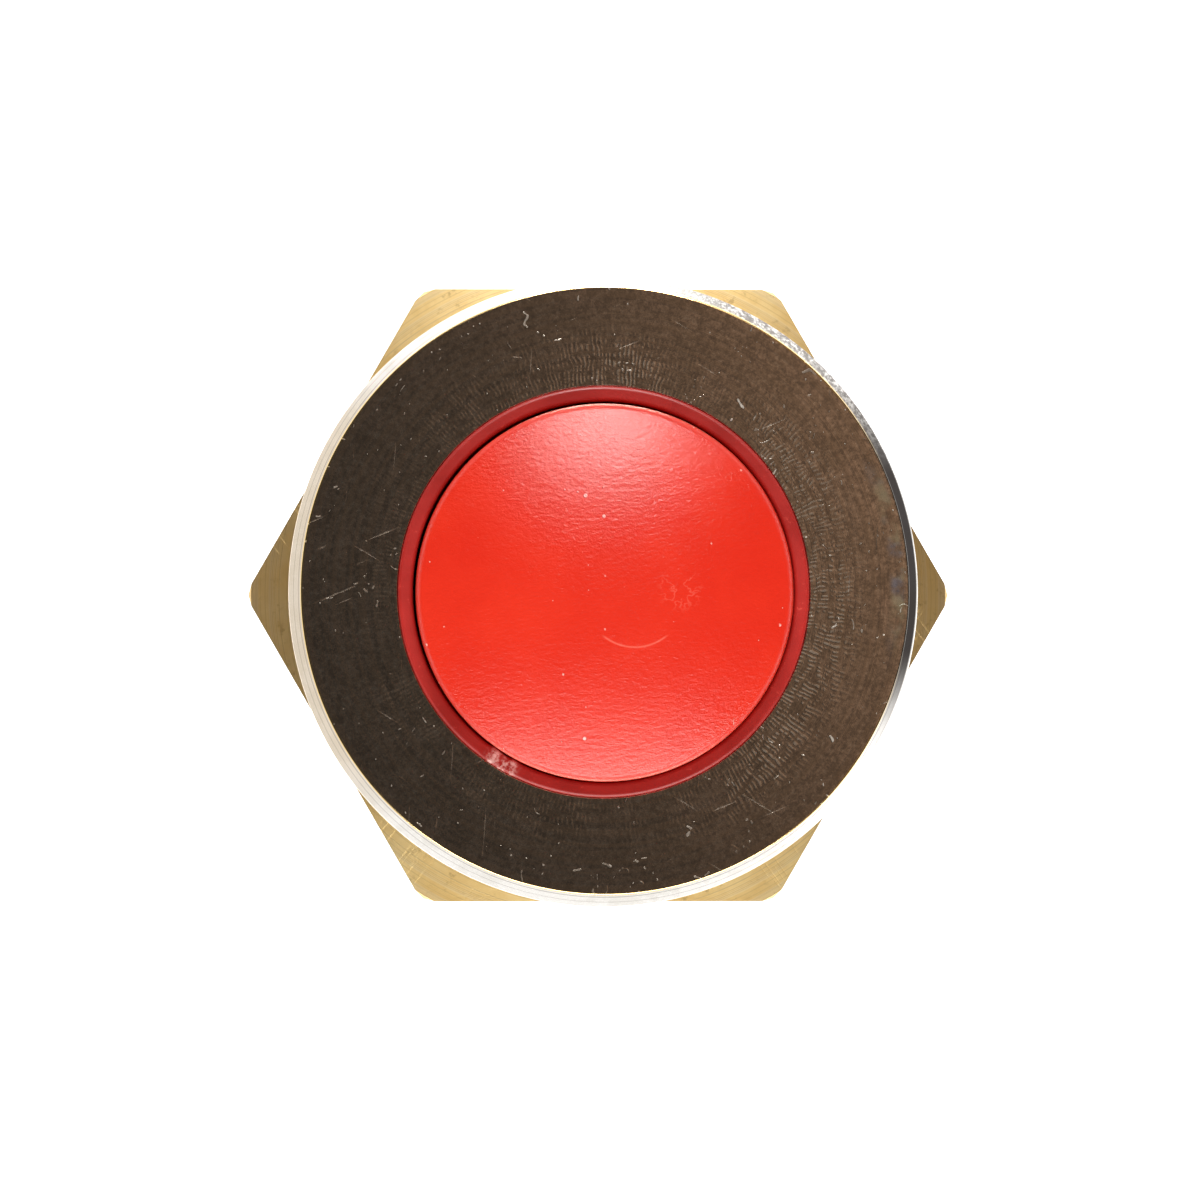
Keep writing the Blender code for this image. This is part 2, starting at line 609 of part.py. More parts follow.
def contact_tip(name, x, face, up, material):
    """A riveted silver tip: head, shank through the strip, upset end. Its face looks up or down."""
    side = 1 if up else -1
    head = face - side * TIP_HEAD
    far = head - side * (STRIP_THICKNESS + 2 * SEAT_GAP)
    end = far - side * TIP_UPSET
    edge = TIP_HEAD / 4
    outline = [
        (0, face), (TIP_HEAD_RADIUS - edge, face), (TIP_HEAD_RADIUS, face - side * edge),
        (TIP_HEAD_RADIUS, head), (TIP_SHANK_RADIUS, head), (TIP_SHANK_RADIUS, far),
        (TIP_UPSET_RADIUS, far), (TIP_UPSET_RADIUS, end), (0, end),
    ]
    if not up:
        outline.reverse()
    return turned(name, outline, material, TIP_STEPS, closed=False, x=x)


def fixed_contact(name, side, material):
    """Strip bent down from the arm under a fixed tip into the blade that leaves the base."""
    over = STRIP_THICKNESS
    inner = TIP_X - TIP_HEAD_RADIUS + ARM_INSET
    thin = BLADE_OUTSIDE - TAB_STEP
    step = BASE_BOTTOM - SEAT_GAP
    bend = BEND_RADIUS + STRIP_THICKNESS - TAB_STEP
    outline = [(inner, ARM_TOP)]
    outline += arc((thin - bend, ARM_TOP - bend), bend, 90, 0, 5)
    outline += [(thin, step), (BLADE_OUTSIDE, step), (BLADE_OUTSIDE, TAB_END - over),
                (BLADE_INSIDE, TAB_END - over)]
    outline += arc((BLADE_INSIDE - BEND_RADIUS, ARM_BOTTOM - BEND_RADIUS), BEND_RADIUS, 0, 90, 3)
    outline += [(inner, ARM_BOTTOM)]
    if side < 0:
        outline = [(-x, z) for x, z in reversed(outline)]
    strip = extruded(name, [outline], 2 * TAB_WIDTH, material, turn=(pi / 2, 0, 0))
    half = TAB_WIDTH / 2
    width = [(half, ARM_TOP + over), (-half, ARM_TOP + over), (-half, TAB_END + TAB_POINT),
             (TAB_POINT - half, TAB_END), (half - TAB_POINT, TAB_END), (half, TAB_END + TAB_POINT)]
    hole = circle(TAB_HOLE_RADIUS, TIP_STEPS, 0, TAB_END + TAB_HOLE_FROM_END)
    envelope = extruded(name + "_width", [width, hole], 3 * FLANGE_RADIUS, turn=(pi / 2, 0, pi / 2))
    boolean(strip, envelope, "INTERSECT")
    rivet = cylinder(name + "_rivet", TIP_SHANK_RADIUS + SEAT_GAP, ARM_TOP + over,
                     ARM_BOTTOM - over, None, TIP_STEPS, side * TIP_X)
    rivet.rotation_euler.z = CUTTER_TURN
    return boolean(strip, rivet, "DIFFERENCE")


# Housing and base -----------------------------------------------------------------------------------

def contact_housing(material):
    """Moulded cup: room for the stem's clip above, a slot for the bridge and the arms below."""
    housing = cylinder("contact_housing", FIT_RADIUS, HOUSING_TOP, HOUSING_BOTTOM, material)
    over = STRIP_THICKNESS
    slot = BRIDGE_WIDTH / 2 + SLOT_GAP
    stem_room = TAIL_RADIUS + TAIL_CLIP_WIDTH + SLOT_GAP
    room = cylinder("clip_room", HOUSING_BORE, HOUSING_TOP + over, CLIP_ROOM_BOTTOM)
    boolean(housing, room, "DIFFERENCE")
    boolean(housing, box("bridge_slot", (-HOUSING_BORE, -slot, HOUSING_BOTTOM - over),
                         (HOUSING_BORE, slot, CLIP_ROOM_BOTTOM + over)), "DIFFERENCE")
    bore = cylinder("stem_room", stem_room, CLIP_ROOM_BOTTOM + over / 2, HOUSING_BOTTOM - 2 * over)
    return boolean(housing, bore, "DIFFERENCE")


def blade_slot(name, side, top, bottom):
    """Cutter that clears a terminal's blade and tab."""
    half = TAB_WIDTH / 2 + SEAT_GAP
    ends = sorted((side * (BLADE_INSIDE - SEAT_GAP), side * (BLADE_OUTSIDE + SEAT_GAP)))
    return box(name, (ends[0], -half, bottom), (ends[1], half, top))


def terminal_base(material):
    """Moulded base: flange in the barrel, neck behind it, slots for the blades, potting recess."""
    recess = BASE_BOTTOM + POTTING_RECESS + POTTING_DEPTH + SEAT_GAP
    base = turned("terminal_base", [
        (0, BASE_TOP), (FIT_RADIUS, BASE_TOP), (FIT_RADIUS, BASE_FLANGE_BOTTOM),
        (NECK_RADIUS, BASE_FLANGE_BOTTOM), (NECK_RADIUS, BASE_BOTTOM), (POTTING_BORE, BASE_BOTTOM),
        (POTTING_BORE, recess), (0, recess),
    ], material, closed=False)
    over = STRIP_THICKNESS
    pocket = cylinder("tail_pocket", TAIL_RADIUS + TAIL_POCKET_GAP, BASE_TOP + over,
                      BASE_TOP - TAIL_POCKET_DEPTH, None, SMALL_STEPS)
    boolean(base, pocket, "DIFFERENCE")
    for side, word in ((-1, "left"), (1, "right")):
        boolean(base, blade_slot("base_slot_" + word, side, BASE_TOP + over, BASE_BOTTOM - over),
                "DIFFERENCE")
        rivet_room = cylinder("rivet_room_" + word, TIP_UPSET_RADIUS + SEAT_GAP, BASE_TOP + over,
                              BASE_TOP - TIP_UPSET - SEAT_GAP, None, TIP_STEPS, side * TIP_X)
        boolean(base, rivet_room, "DIFFERENCE")
    return base


def potting_seal(material):
    """Cast resin in the base's recess, round both blades."""
    bottom = BASE_BOTTOM + POTTING_RECESS
    top = bottom + POTTING_DEPTH
    seal = cylinder("potting_seal", POTTING_BORE - SEAT_GAP, top, bottom, material)
    for side, word in ((-1, "left"), (1, "right")):
        boolean(seal, blade_slot("potting_slot_" + word, side, top + TAB_STEP, bottom - TAB_STEP),
                "DIFFERENCE")
    return seal


def base_retaining_ring(material):
    outer = REAR_BORE + RING_GROOVE_DEPTH - SEAT_GAP
    return snap_ring("base_retaining_ring", outer - RETAINER_WIDTH, outer, RETAINER_MOUTH,
                     RETAINER_THICKNESS, RETAINER_TOP, material, pi / 2, ROUND_STEPS)


# Assembly -------------------------------------------------------------------------------------------

MOVING = {
    "press_axis": ["button_cap", "plunger_stem", "stem_seal_ring", "stem_clip", "bridge_clip"],
    "bridge_axis": ["contact_bridge", "bridge_tip_left", "bridge_tip_right", "contact_spring"],
    "nut_axis": ["lock_nut"],
}

clear_scene()
PARTS = new_collection("push_button")
CUTTERS = new_collection("push_button_cutters")

nickel = finish("nickel_plate", (0.60, 0.57, 0.52), 0.22, 1.0)
raw_brass = finish("raw_brass", (0.78, 0.57, 0.27), 0.30, 1.0)
stem_brass = finish("stem_brass", (0.80, 0.60, 0.30), 0.28, 1.0)
ring_red = finish("sleeve_red_plastic", (0.62, 0.05, 0.03), 0.40)
cap_red = finish("cap_red_plastic", (0.80, 0.06, 0.03), 0.45)
black_rubber = finish("black_rubber", (0.02, 0.02, 0.02), 0.75)
seal_rubber = finish("seal_rubber", (0.035, 0.03, 0.03), 0.60)
spring_steel = finish("spring_steel", (0.55, 0.55, 0.56), 0.28, 1.0)
clip_steel = finish("clip_steel", (0.28, 0.27, 0.26), 0.38, 1.0)
bridge_copper = finish("bridge_copper", (0.80, 0.42, 0.26), 0.30, 1.0)
tab_tin = finish("tinned_brass", (0.70, 0.69, 0.66), 0.34, 1.0)
tip_silver = finish("contact_silver", (0.88, 0.87, 0.84), 0.25, 1.0)
housing_black = finish("housing_black_plastic", (0.03, 0.03, 0.032), 0.50)
base_black = finish("base_black_plastic", (0.045, 0.045, 0.045), 0.45)
resin = finish("potting_resin", (0.06, 0.05, 0.045), 0.20)

bezel_bushing(nickel)
panel_gasket(black_rubber)
lock_nut(raw_brass)
guide_sleeve(ring_red)
sleeve_gasket(seal_rubber)
button_cap(cap_red)
plunger_stem(stem_brass)
stem_seal_ring(seal_rubber)
stem_clip(clip_steel)
bridge_clip(clip_steel)
return_spring(spring_steel)
contact_spring(spring_steel)
contact_bridge(bridge_copper)
contact_housing(housing_black)
terminal_base(base_black)
potting_seal(resin)
base_retaining_ring(clip_steel)
for side, word in ((-1, "left"), (1, "right")):
    contact_tip("bridge_tip_" + word, side * TIP_X, BRIDGE_TIP, False, tip_silver)
    contact_tip("fixed_tip_" + word, side * TIP_X, FIXED_TIP, True, tip_silver)
    fixed_contact("fixed_contact_" + word, side, tab_tin)

made = {obj.name: shade_round(obj) for obj in list(PARTS.objects)}
for name, pieces in MOVING.items():
    carried(name, [made[piece] for piece in pieces])
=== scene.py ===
from math import atan2, cos, exp, pi, radians, sin, sqrt, tan

import bmesh
import bpy
from mathutils import Matrix, Vector


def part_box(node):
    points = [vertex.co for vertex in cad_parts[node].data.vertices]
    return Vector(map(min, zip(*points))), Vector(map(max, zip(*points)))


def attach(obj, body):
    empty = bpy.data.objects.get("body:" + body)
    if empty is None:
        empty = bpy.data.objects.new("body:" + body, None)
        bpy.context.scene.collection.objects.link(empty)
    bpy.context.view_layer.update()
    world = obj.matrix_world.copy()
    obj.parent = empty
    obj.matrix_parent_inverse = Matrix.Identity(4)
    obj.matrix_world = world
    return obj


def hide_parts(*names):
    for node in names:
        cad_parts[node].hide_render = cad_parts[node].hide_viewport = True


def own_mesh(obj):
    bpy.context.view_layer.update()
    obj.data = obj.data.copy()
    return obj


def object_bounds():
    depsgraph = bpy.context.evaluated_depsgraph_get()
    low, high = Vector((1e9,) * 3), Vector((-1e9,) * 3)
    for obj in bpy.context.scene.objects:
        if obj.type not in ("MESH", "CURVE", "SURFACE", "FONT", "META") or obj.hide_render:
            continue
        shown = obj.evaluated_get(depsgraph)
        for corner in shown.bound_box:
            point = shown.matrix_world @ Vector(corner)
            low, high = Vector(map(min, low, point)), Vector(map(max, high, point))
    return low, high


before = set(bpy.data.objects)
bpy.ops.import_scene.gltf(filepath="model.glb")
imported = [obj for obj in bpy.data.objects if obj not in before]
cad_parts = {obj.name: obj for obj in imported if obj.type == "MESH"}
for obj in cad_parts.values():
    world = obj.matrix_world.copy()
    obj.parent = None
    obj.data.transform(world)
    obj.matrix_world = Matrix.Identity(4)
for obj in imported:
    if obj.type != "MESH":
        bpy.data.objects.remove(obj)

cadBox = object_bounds()
mm = 0.001
joint = 0.05  # what the solids leave between two seated pieces, in mm
weld = 0.0005  # closer points than this are one, in mm


def corners(node):
    # a CAD node's lowest and highest corners, in mm
    return [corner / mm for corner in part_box(node)]


# Mesh tools. Every outline is a list of (radius, height) or (radius, height, rounding), in mm.

def vertsIn(geom):
    return [item for item in geom if isinstance(item, bmesh.types.BMVert)]


def edgesIn(geom):
    return [item for item in geom if isinstance(item, bmesh.types.BMEdge)]


def everything(bm):
    return bm.verts[:] + bm.edges[:] + bm.faces[:]


def ordered(bm):
    # operators leave their elements in an order that differs from run to run, so sort them by place
    def spot(vert):
        return [round(value / mm, 4) for value in vert.co]

    def ends(item):
        return sorted(vert.index for vert in item.verts)

    for elements, key in ((bm.verts, spot), (bm.edges, ends), (bm.faces, ends)):
        for i, item in enumerate(sorted(elements, key=key)):
            item.index = i
        elements.sort()


def meshOf(bm, name):
    ordered(bm)
    mesh = bpy.data.meshes.new(name)
    bm.to_mesh(mesh)
    bm.free()
    return mesh


def placed(name, data):
    made = bpy.data.objects.new(name, data)
    bpy.context.scene.collection.objects.link(made)
    return made


def softened(outline, closed=True, steps=4):
    # gives each corner its rounding, with a point on either side that keeps the faces flat
    made = []
    for i, point in enumerate(outline):
        here = Vector(point[:2])
        if len(point) == 2 or (not closed and i in (0, len(outline) - 1)):
            made.append(tuple(here))
            continue
        back = Vector(outline[i - 1][:2]) - here
        ahead = Vector(outline[(i + 1) % len(outline)][:2]) - here
        half = back.angle(ahead) / 2
        run = min(point[2] / tan(half), 0.42 * back.length, 0.42 * ahead.length)
        radius = run * tan(half)
        back.normalize()
        ahead.normalize()
        centre = here + (back + ahead).normalized() * radius / sin(half)
        start = here + back * run - centre
        turn = start.angle_signed(here + ahead * run - centre)
        made.append(tuple(here + back * run * 1.15))
        for step in range(steps + 1):
            angle = -turn * step / steps
            spot = Vector((start.x * cos(angle) - start.y * sin(angle),
                           start.x * sin(angle) + start.y * cos(angle)))
            made.append(tuple(centre + spot))
        made.append(tuple(here + ahead * run * 1.15))
    return made


def chain(bm, outline, closed, x=0.0):
    verts = [bm.verts.new(((x + radius) * mm, 0, height * mm)) for radius, height in outline]
    pairs = list(zip(verts, verts[1:]))
    if closed:
        pairs.append((verts[-1], verts[0]))
    return verts + [bm.edges.new(pair) for pair in pairs]


def sweep(bm, geom, steps, angle=2 * pi, rise=0.0, x=0.0, merge=False):
    # turns an outline about an upright axis, and climbs by a rise in metres at each step
    return bmesh.ops.spin(bm, geom=geom, cent=(x * mm, 0, 0), axis=(0, 0, 1), dvec=(0, 0, rise),
                          angle=angle, steps=steps, use_merge=merge)["geom_last"]


def turned(bm, outline, steps=192, closed=True, x=0.0):
    # an open outline starts and ends on the axis, or leaves an edge to bridge
    sweep(bm, chain(bm, outline, closed, x), steps, x=x, merge=True)
    bmesh.ops.remove_doubles(bm, verts=bm.verts, dist=weld * mm)


def helix(bm, outline, pitch, turns, steps):
    # a right-hand thread's flanks: one pitch of the outline, swept upwards for a turn and repeated
    sweep(bm, chain(bm, outline, False), steps, rise=pitch * mm / steps)
    oneTurn = everything(bm)
    for turn in range(1, turns):
        made = bmesh.ops.duplicate(bm, geom=oneTurn)["geom"]
        bmesh.ops.translate(bm, verts=vertsIn(made), vec=(0, 0, turn * pitch * mm))
    bmesh.ops.remove_doubles(bm, verts=bm.verts, dist=weld * mm)


def trim(bm, height, side):
    # cuts off what lies above (side 1) or below (side -1) a height
    bmesh.ops.bisect_plane(bm, geom=everything(bm), dist=0.0001 * mm, plane_co=(0, 0, height * mm),
                           plane_no=(0, 0, side), clear_outer=True)


def bridge(bm, height, reach=0.06):
    # joins the two open rims near a height
    rims = [edge for edge in bm.edges if edge.is_boundary
            and all(abs(vert.co.z / mm - height) < reach for vert in edge.verts)]
    bmesh.ops.bridge_loops(bm, edges=rims)


def piece(bm, name, body, nodes, material, sharp=32):
    # a finished piece on its body, in place of its CAD nodes
    bmesh.ops.recalc_face_normals(bm, faces=bm.faces)
    mesh = meshOf(bm, name)
    mesh.shade_smooth()
    mesh.set_sharp_from_angle(angle=radians(sharp))
    mesh.materials.append(material)
    made = placed(name, mesh)
    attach(made, body)
    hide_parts(*nodes)
    return made


def extruded(bm, way):
    # gives the flat face or faces a thickness, by a vector in mm
    made = bmesh.ops.extrude_face_region(bm, geom=bm.faces[:], use_keep_orig=True)["geom"]
    bmesh.ops.translate(bm, verts=vertsIn(made), vec=Vector(way) * mm)
    bmesh.ops.recalc_face_normals(bm, faces=bm.faces)


def rollEdges(bm, edge, segments, sharp):
    # rounds every edge that turns by more than an angle in degrees
    bmesh.ops.dissolve_limit(bm, angle_limit=radians(1), verts=bm.verts, edges=bm.edges)
    found = [item for item in bm.edges if len(item.link_faces) == 2
             and item.calc_face_angle() > radians(sharp)]
    bmesh.ops.bevel(bm, geom=found, offset=edge * mm, segments=segments, profile=0.5, affect="EDGES",
                    material=-1, clamp_overlap=True)


def cutAndRound(target, cutter, edge, segments=2, sharp=40):
    # cuts a piece with a closed mesh, then rolls every sharp edge
    tool = placed("cutter", meshOf(cutter, "cutter"))
    cut = target.modifiers.new("cut", "BOOLEAN")
    cut.object = tool
    cut.operation = "DIFFERENCE"
    cut.solver = "EXACT"
    graph = bpy.context.evaluated_depsgraph_get()
    made = bpy.data.meshes.new_from_object(target.evaluated_get(graph))
    target.modifiers.clear()
    bpy.data.objects.remove(tool)
    bm = bmesh.new()
    bm.from_mesh(made)
    bmesh.ops.remove_doubles(bm, verts=bm.verts, dist=2 * weld * mm)
    ordered(bm)
    rollEdges(bm, edge, segments, sharp)
    bmesh.ops.recalc_face_normals(bm, faces=bm.faces)
    bm.to_mesh(target.data)
    bm.free()
    bpy.data.meshes.remove(made)
    target.data.shade_smooth()
    target.data.set_sharp_from_angle(angle=radians(sharp))


# Closed shapes to cut with

def boxed(bm, low, high):
    made = bmesh.ops.create_cube(bm, size=1)["verts"]
    low, high = Vector(low), Vector(high)
    bmesh.ops.scale(bm, vec=(high - low) * mm, verts=made)
    bmesh.ops.translate(bm, vec=(low + high) / 2 * mm, verts=made)


def drum(bm, radius, high, low, x=0.0, steps=96):
    made = bmesh.ops.create_cone(bm, cap_ends=True, segments=steps, radius1=radius * mm,
                                 radius2=radius * mm, depth=(high - low) * mm)["verts"]
    bmesh.ops.translate(bm, verts=made, vec=(x * mm, 0, (high + low) / 2 * mm))


def bladeSlots(low, high):
    # a slot for each solder tab, right through a piece
    tools = bmesh.new()
    half = contacts["tab"] / 2 + joint
    for side in (-1, 1):
        ends = sorted((side * (contacts["bladeIn"] - joint), side * (contacts["bladeOut"] + joint)))
        boxed(tools, (ends[0], -half, low.z - 1), (ends[1], half, high.z + 1))
    return tools


# Material tools

class Shade:
    # wraps a node socket, so that sums on it add Math nodes
    def __init__(self, tree, socket=None):
        self.tree = tree
        self.socket = socket

    def node(self, kind, settings=None, values=None, output=0):
        made = self.tree.nodes.new("ShaderNode" + kind)
        for name, value in (settings or {}).items():
            setattr(made, name, value)
        for key, value in (values or {}).items():
            if isinstance(value, Shade):
                self.tree.links.new(value.socket, made.inputs[key])
            else:
                made.inputs[key].default_value = value
        return Shade(self.tree, made.outputs[output])

    def math(self, operation, *values):
        return self.node("Math", {"operation": operation}, dict(enumerate(values)))

    def __add__(self, other):
        return self.math("ADD", self, other)

    def __radd__(self, other):
        return self.math("ADD", other, self)

    def __sub__(self, other):
        return self.math("SUBTRACT", self, other)

    def __rsub__(self, other):
        return self.math("SUBTRACT", other, self)

    def __mul__(self, other):
        return self.math("MULTIPLY", self, other)

    def __rmul__(self, other):
        return self.math("MULTIPLY", other, self)

    def step(self, low, high, start=0.0, end=1.0):
        # goes smoothly from start to end as the value goes from low to high
        return self.node("MapRange", {"interpolation_type": "SMOOTHSTEP"},
                         {"Value": self, "From Min": low, "From Max": high,
                          "To Min": start, "To Max": end})

    def band(self, low, high, soft):
        # 1 between low and high, with soft edges
        return self.step(low - soft, low + soft) * self.step(high - soft, high + soft, 1.0, 0.0)

    def mix(self, one, other):
        # this value mixes two colours, each a link or plain red, green and blue
        one, other = (item if isinstance(item, Shade) else (*item, 1) for item in (one, other))
        return self.node("Mix", {"data_type": "RGBA"}, {0: self, 6: one, 7: other}, 2)


class Finish(Shade):
    # a material whose patterns are laid out in mm in the part's own frame
    def __init__(self, name, metallic=0.0, **fixed):
        self.material = bpy.data.materials.new(name)
        self.material.use_nodes = True
        super().__init__(self.material.node_tree)
        self.shader = self.tree.nodes["Principled BSDF"]
        self.shader.inputs["Metallic"].default_value = metallic
        for socket, value in fixed.items():
            self.shader.inputs[socket.replace("_", " ")].default_value = value
        spot = self.node("TexCoord", output=3)
        self.spot = self.node("VectorMath", {"operation": "SCALE"}, {0: spot, "Scale": 1 / mm})
        self.x = self.node("SeparateXYZ", values={0: self.spot}, output=0)
        self.y = self.node("SeparateXYZ", values={0: self.spot}, output=1)
        self.z = self.node("SeparateXYZ", values={0: self.spot}, output=2)
        self.radius = self.math("SQRT", self.x * self.x + self.y * self.y)
        self.angle = self.math("ARCTAN2", self.y, self.x)

    def noise(self, scale, detail=2.0, rough=0.5, where=None, distortion=0.0):
        return self.node("TexNoise", None,
                         {"Vector": where or self.spot, "Scale": scale, "Detail": detail,
                          "Roughness": rough, "Distortion": distortion})

    def rings(self, scale, detail=3.0, along=None):
        # noise that changes along one value only, such as the marks of a lathe tool
        return self.node("TexNoise", {"noise_dimensions": "1D"},
                         {"W": (along or self.radius) * scale, "Scale": 1.0, "Detail": detail})

    def distance(self, x, y):
        # how far a spot is from an upright line, in mm
        offX = self.x - x
        offY = self.y - y
        return self.math("SQRT", offX * offX + offY * offY)

    def around(self, angle, low, high):
        # 1 round an angle about the axis, fading out from low to high radians away
        return self.math("ABSOLUTE", self.angle - angle).step(low, high, 1.0, 0.0)

    def place(self, x, y, z):
        return self.node("CombineXYZ", values={0: x, 1: y, 2: z})

    def stretched(self, turn, scales):
        # the spot, turned about Z and scaled, for streaks
        return self.node("Mapping", {"vector_type": "TEXTURE"},
                         {"Vector": self.spot, "Rotation": (0, 0, turn),
                          "Scale": [1 / scale for scale in scales]})

    def dots(self, where, scale, chosen, size, soft=0.02):
        # one dot in a cell, each of its own size, in the share of the cells that is chosen
        cell = {"Vector": where, "Scale": scale, "Randomness": 1.0}
        far = self.node("TexVoronoi", None, cell, 0)
        pick = self.node("SeparateColor", values={0: self.node("TexVoronoi", None, cell, 1)})
        return (far - pick.step(*chosen, -soft, size)).step(-soft, soft, 1.0, 0.0)

    def specks(self, scale, size, seed=0.0):
        # small round dots of dust
        where = self.node("Mapping", None, {"Vector": self.spot, "Location": (seed, seed * 2, seed * 3)})
        return self.dots(where, scale, (0.6, 1.0), size)

    def flecks(self, scale, size, seed):
        # lint: short curved strokes
        bend = self.node("TexNoise", None, {"Vector": self.spot, "Scale": 1.3, "Detail": 1.0}, 1)
        where = self.node("VectorMath", {"operation": "MULTIPLY_ADD"},
                          {0: bend, 1: (2.4, 2.4, 0.0), 2: self.stretched(seed, (1.0, 0.30, 1.0))})
        return self.dots(where, scale, (0.72, 0.94), size)

    def hairlines(self, turn, amount=0.66):
        # short straight scratches in one direction
        lines = self.noise(1.0, 1.0, 0.5, self.stretched(turn, (0.35, 16.0, 0.35)))
        breaks = self.noise(0.5, 2.0, 0.5, self.stretched(turn + 1.0, (1.0, 1.0, 1.0)))
        return lines.step(amount, amount + 0.04) * breaks.step(0.52, 0.60)

    def put(self, socket, value):
        self.tree.links.new(value.socket, self.shader.inputs[socket])

    def done(self, colour, roughness, height, depth):
        # the finished material; its bumps are a height times a depth in mm
        self.put("Base Color", colour)
        self.put("Roughness", roughness)
        bump = self.node("Bump", None, {"Height": height, "Distance": depth * mm, "Strength": 1.0})
        self.put("Normal", bump)
        return self.material


# Camera: looks down the button's axis, from a little left of it and a little below

camera = {"left": 1.5, "below": 0.9, "distance": 189.0, "seen": 34.3, "sensor": 36,
          "aim": (-0.10, -0.23), "aimHeight": corners("bezel_bushing")[1].z - 0.32}


def setCamera():
    data = bpy.data.cameras.new("camera")
    data.sensor_width = camera["sensor"]
    data.lens = camera["sensor"] * camera["distance"] / camera["seen"]
    data.clip_start = 0.01
    data.clip_end = 10
    view = placed("camera", data)
    aim = Vector((*camera["aim"], camera["aimHeight"]))
    view.rotation_euler = (radians(camera["below"]), radians(-camera["left"]), 0)
    view.location = (aim + view.rotation_euler.to_matrix().col[2] * camera["distance"]) * mm
    bpy.context.scene.camera = view


# Light: a softbox towards +Y and a long one towards -Y, a wide weak fill beside each, and a studio
# that is bright all round the horizon and dark overhead

studio = {"zenith": (0.042, 0.037, 0.033), "walls": (1.04, 1.02, 0.99), "wallEdge": (0.28, 0.05),
          "wallRise": 0.3, "warmCard": (0.42, 0.262, 0.172), "cardLine": (0.92, 0.34),
          "cardNear": (0.042, 0.092), "cardFar": (0.14, 0.26), "floorGap": 0.6, "floor": 1200.0,
          "floorPaint": ((0.93, 0.93, 0.93), (0.90, 0.90, 0.905)), "floorGlow": 0.75}
upperWhite = (1.0, 0.98, 0.97)
lowerWhite = (1.0, 0.98, 0.95)
lamps = {
    "above": {"azimuth": 88, "tilt": 47, "distance": 420, "size": (170, 62), "power": 1.60,
              "colour": upperWhite},
    "aboveFill": {"azimuth": 86, "tilt": 32, "distance": 430, "size": (220, 115), "power": 0.20,
                  "colour": upperWhite},
    "below": {"azimuth": -90, "tilt": 57, "distance": 420, "size": (520, 140), "power": 2.3,
              "colour": lowerWhite},
    "belowFill": {"azimuth": -90, "tilt": 37, "distance": 430, "size": (420, 170), "power": 0.23,
                  "colour": lowerWhite},
}


def addLamps():
    for name, lamp in lamps.items():
        data = bpy.data.lights.new(name, "AREA")
        data.shape = "RECTANGLE"
        data.size = lamp["size"][0] * mm
        data.size_y = lamp["size"][1] * mm
        data.energy = lamp["power"]
        data.color = lamp["colour"]
        light = placed(name, data)
        tilt = radians(lamp["tilt"])
        turn = radians(lamp["azimuth"])
        toward = Vector((sin(tilt) * cos(turn), sin(tilt) * sin(turn), cos(tilt)))
        light.location = toward * lamp["distance"] * mm
        light.rotation_euler = toward.to_track_quat("Z", "Y").to_euler()


def setWorld():
    world = bpy.data.worlds.new("studio")
    world.use_nodes = True
    bpy.context.scene.world = world
    sky = Shade(world.node_tree)
    toward = sky.node("TexCoord", output=0)
    height = sky.node("SeparateXYZ", values={0: toward}, output=2)
    right = sky.node("SeparateXYZ", values={0: toward}, output=0)
    ahead = sky.node("SeparateXYZ", values={0: toward}, output=1)
    # a warm card hangs just right of overhead; the walls end low, a little higher before and behind
    alongX, alongY = studio["cardLine"]
    warm = (right * alongX + ahead * alongY).step(*studio["cardNear"])
    warm = warm * right.step(*studio["cardFar"], 1.0, 0.0)
    overhead = warm.mix(studio["zenith"], studio["warmCard"])
    walls = (height - ahead * ahead * studio["wallRise"]).step(*studio["wallEdge"])
    colour = walls.mix(overhead, studio["walls"])
    world.node_tree.links.new(colour.socket, world.node_tree.nodes["Background"].inputs["Color"])


def floorPaint():
    paint = Finish("paleFloor", Roughness=0.75)
    paint.put("Base Color", paint.noise(0.02, 3.0).mix(*studio["floorPaint"]))
    paint.shader.inputs["Specular IOR Level"].default_value = 0.2
    paint.shader.inputs["Emission Color"].default_value = (1, 1, 1, 1)
    paint.shader.inputs["Emission Strength"].default_value = studio["floorGlow"]
    return paint.material


def addFloor():
    bm = bmesh.new()
    bmesh.ops.create_grid(bm, x_segments=2, y_segments=2, size=studio["floor"] * mm)
    low = cadBox[0].z - studio["floorGap"] * mm
    bmesh.ops.translate(bm, verts=bm.verts, vec=(0, 0, low))
    mesh = meshOf(bm, "floor")
    mesh.materials.append(floorPaint())
    placed("floor", mesh)


bpy.context.scene.view_settings.view_transform = "Standard"
setCamera()
addLamps()
setWorld()
addFloor()
print("camera, light and floor done")


# Bushing: plated brass, with a flat turned face, a bright chamfer and an M16 x 1 barrel

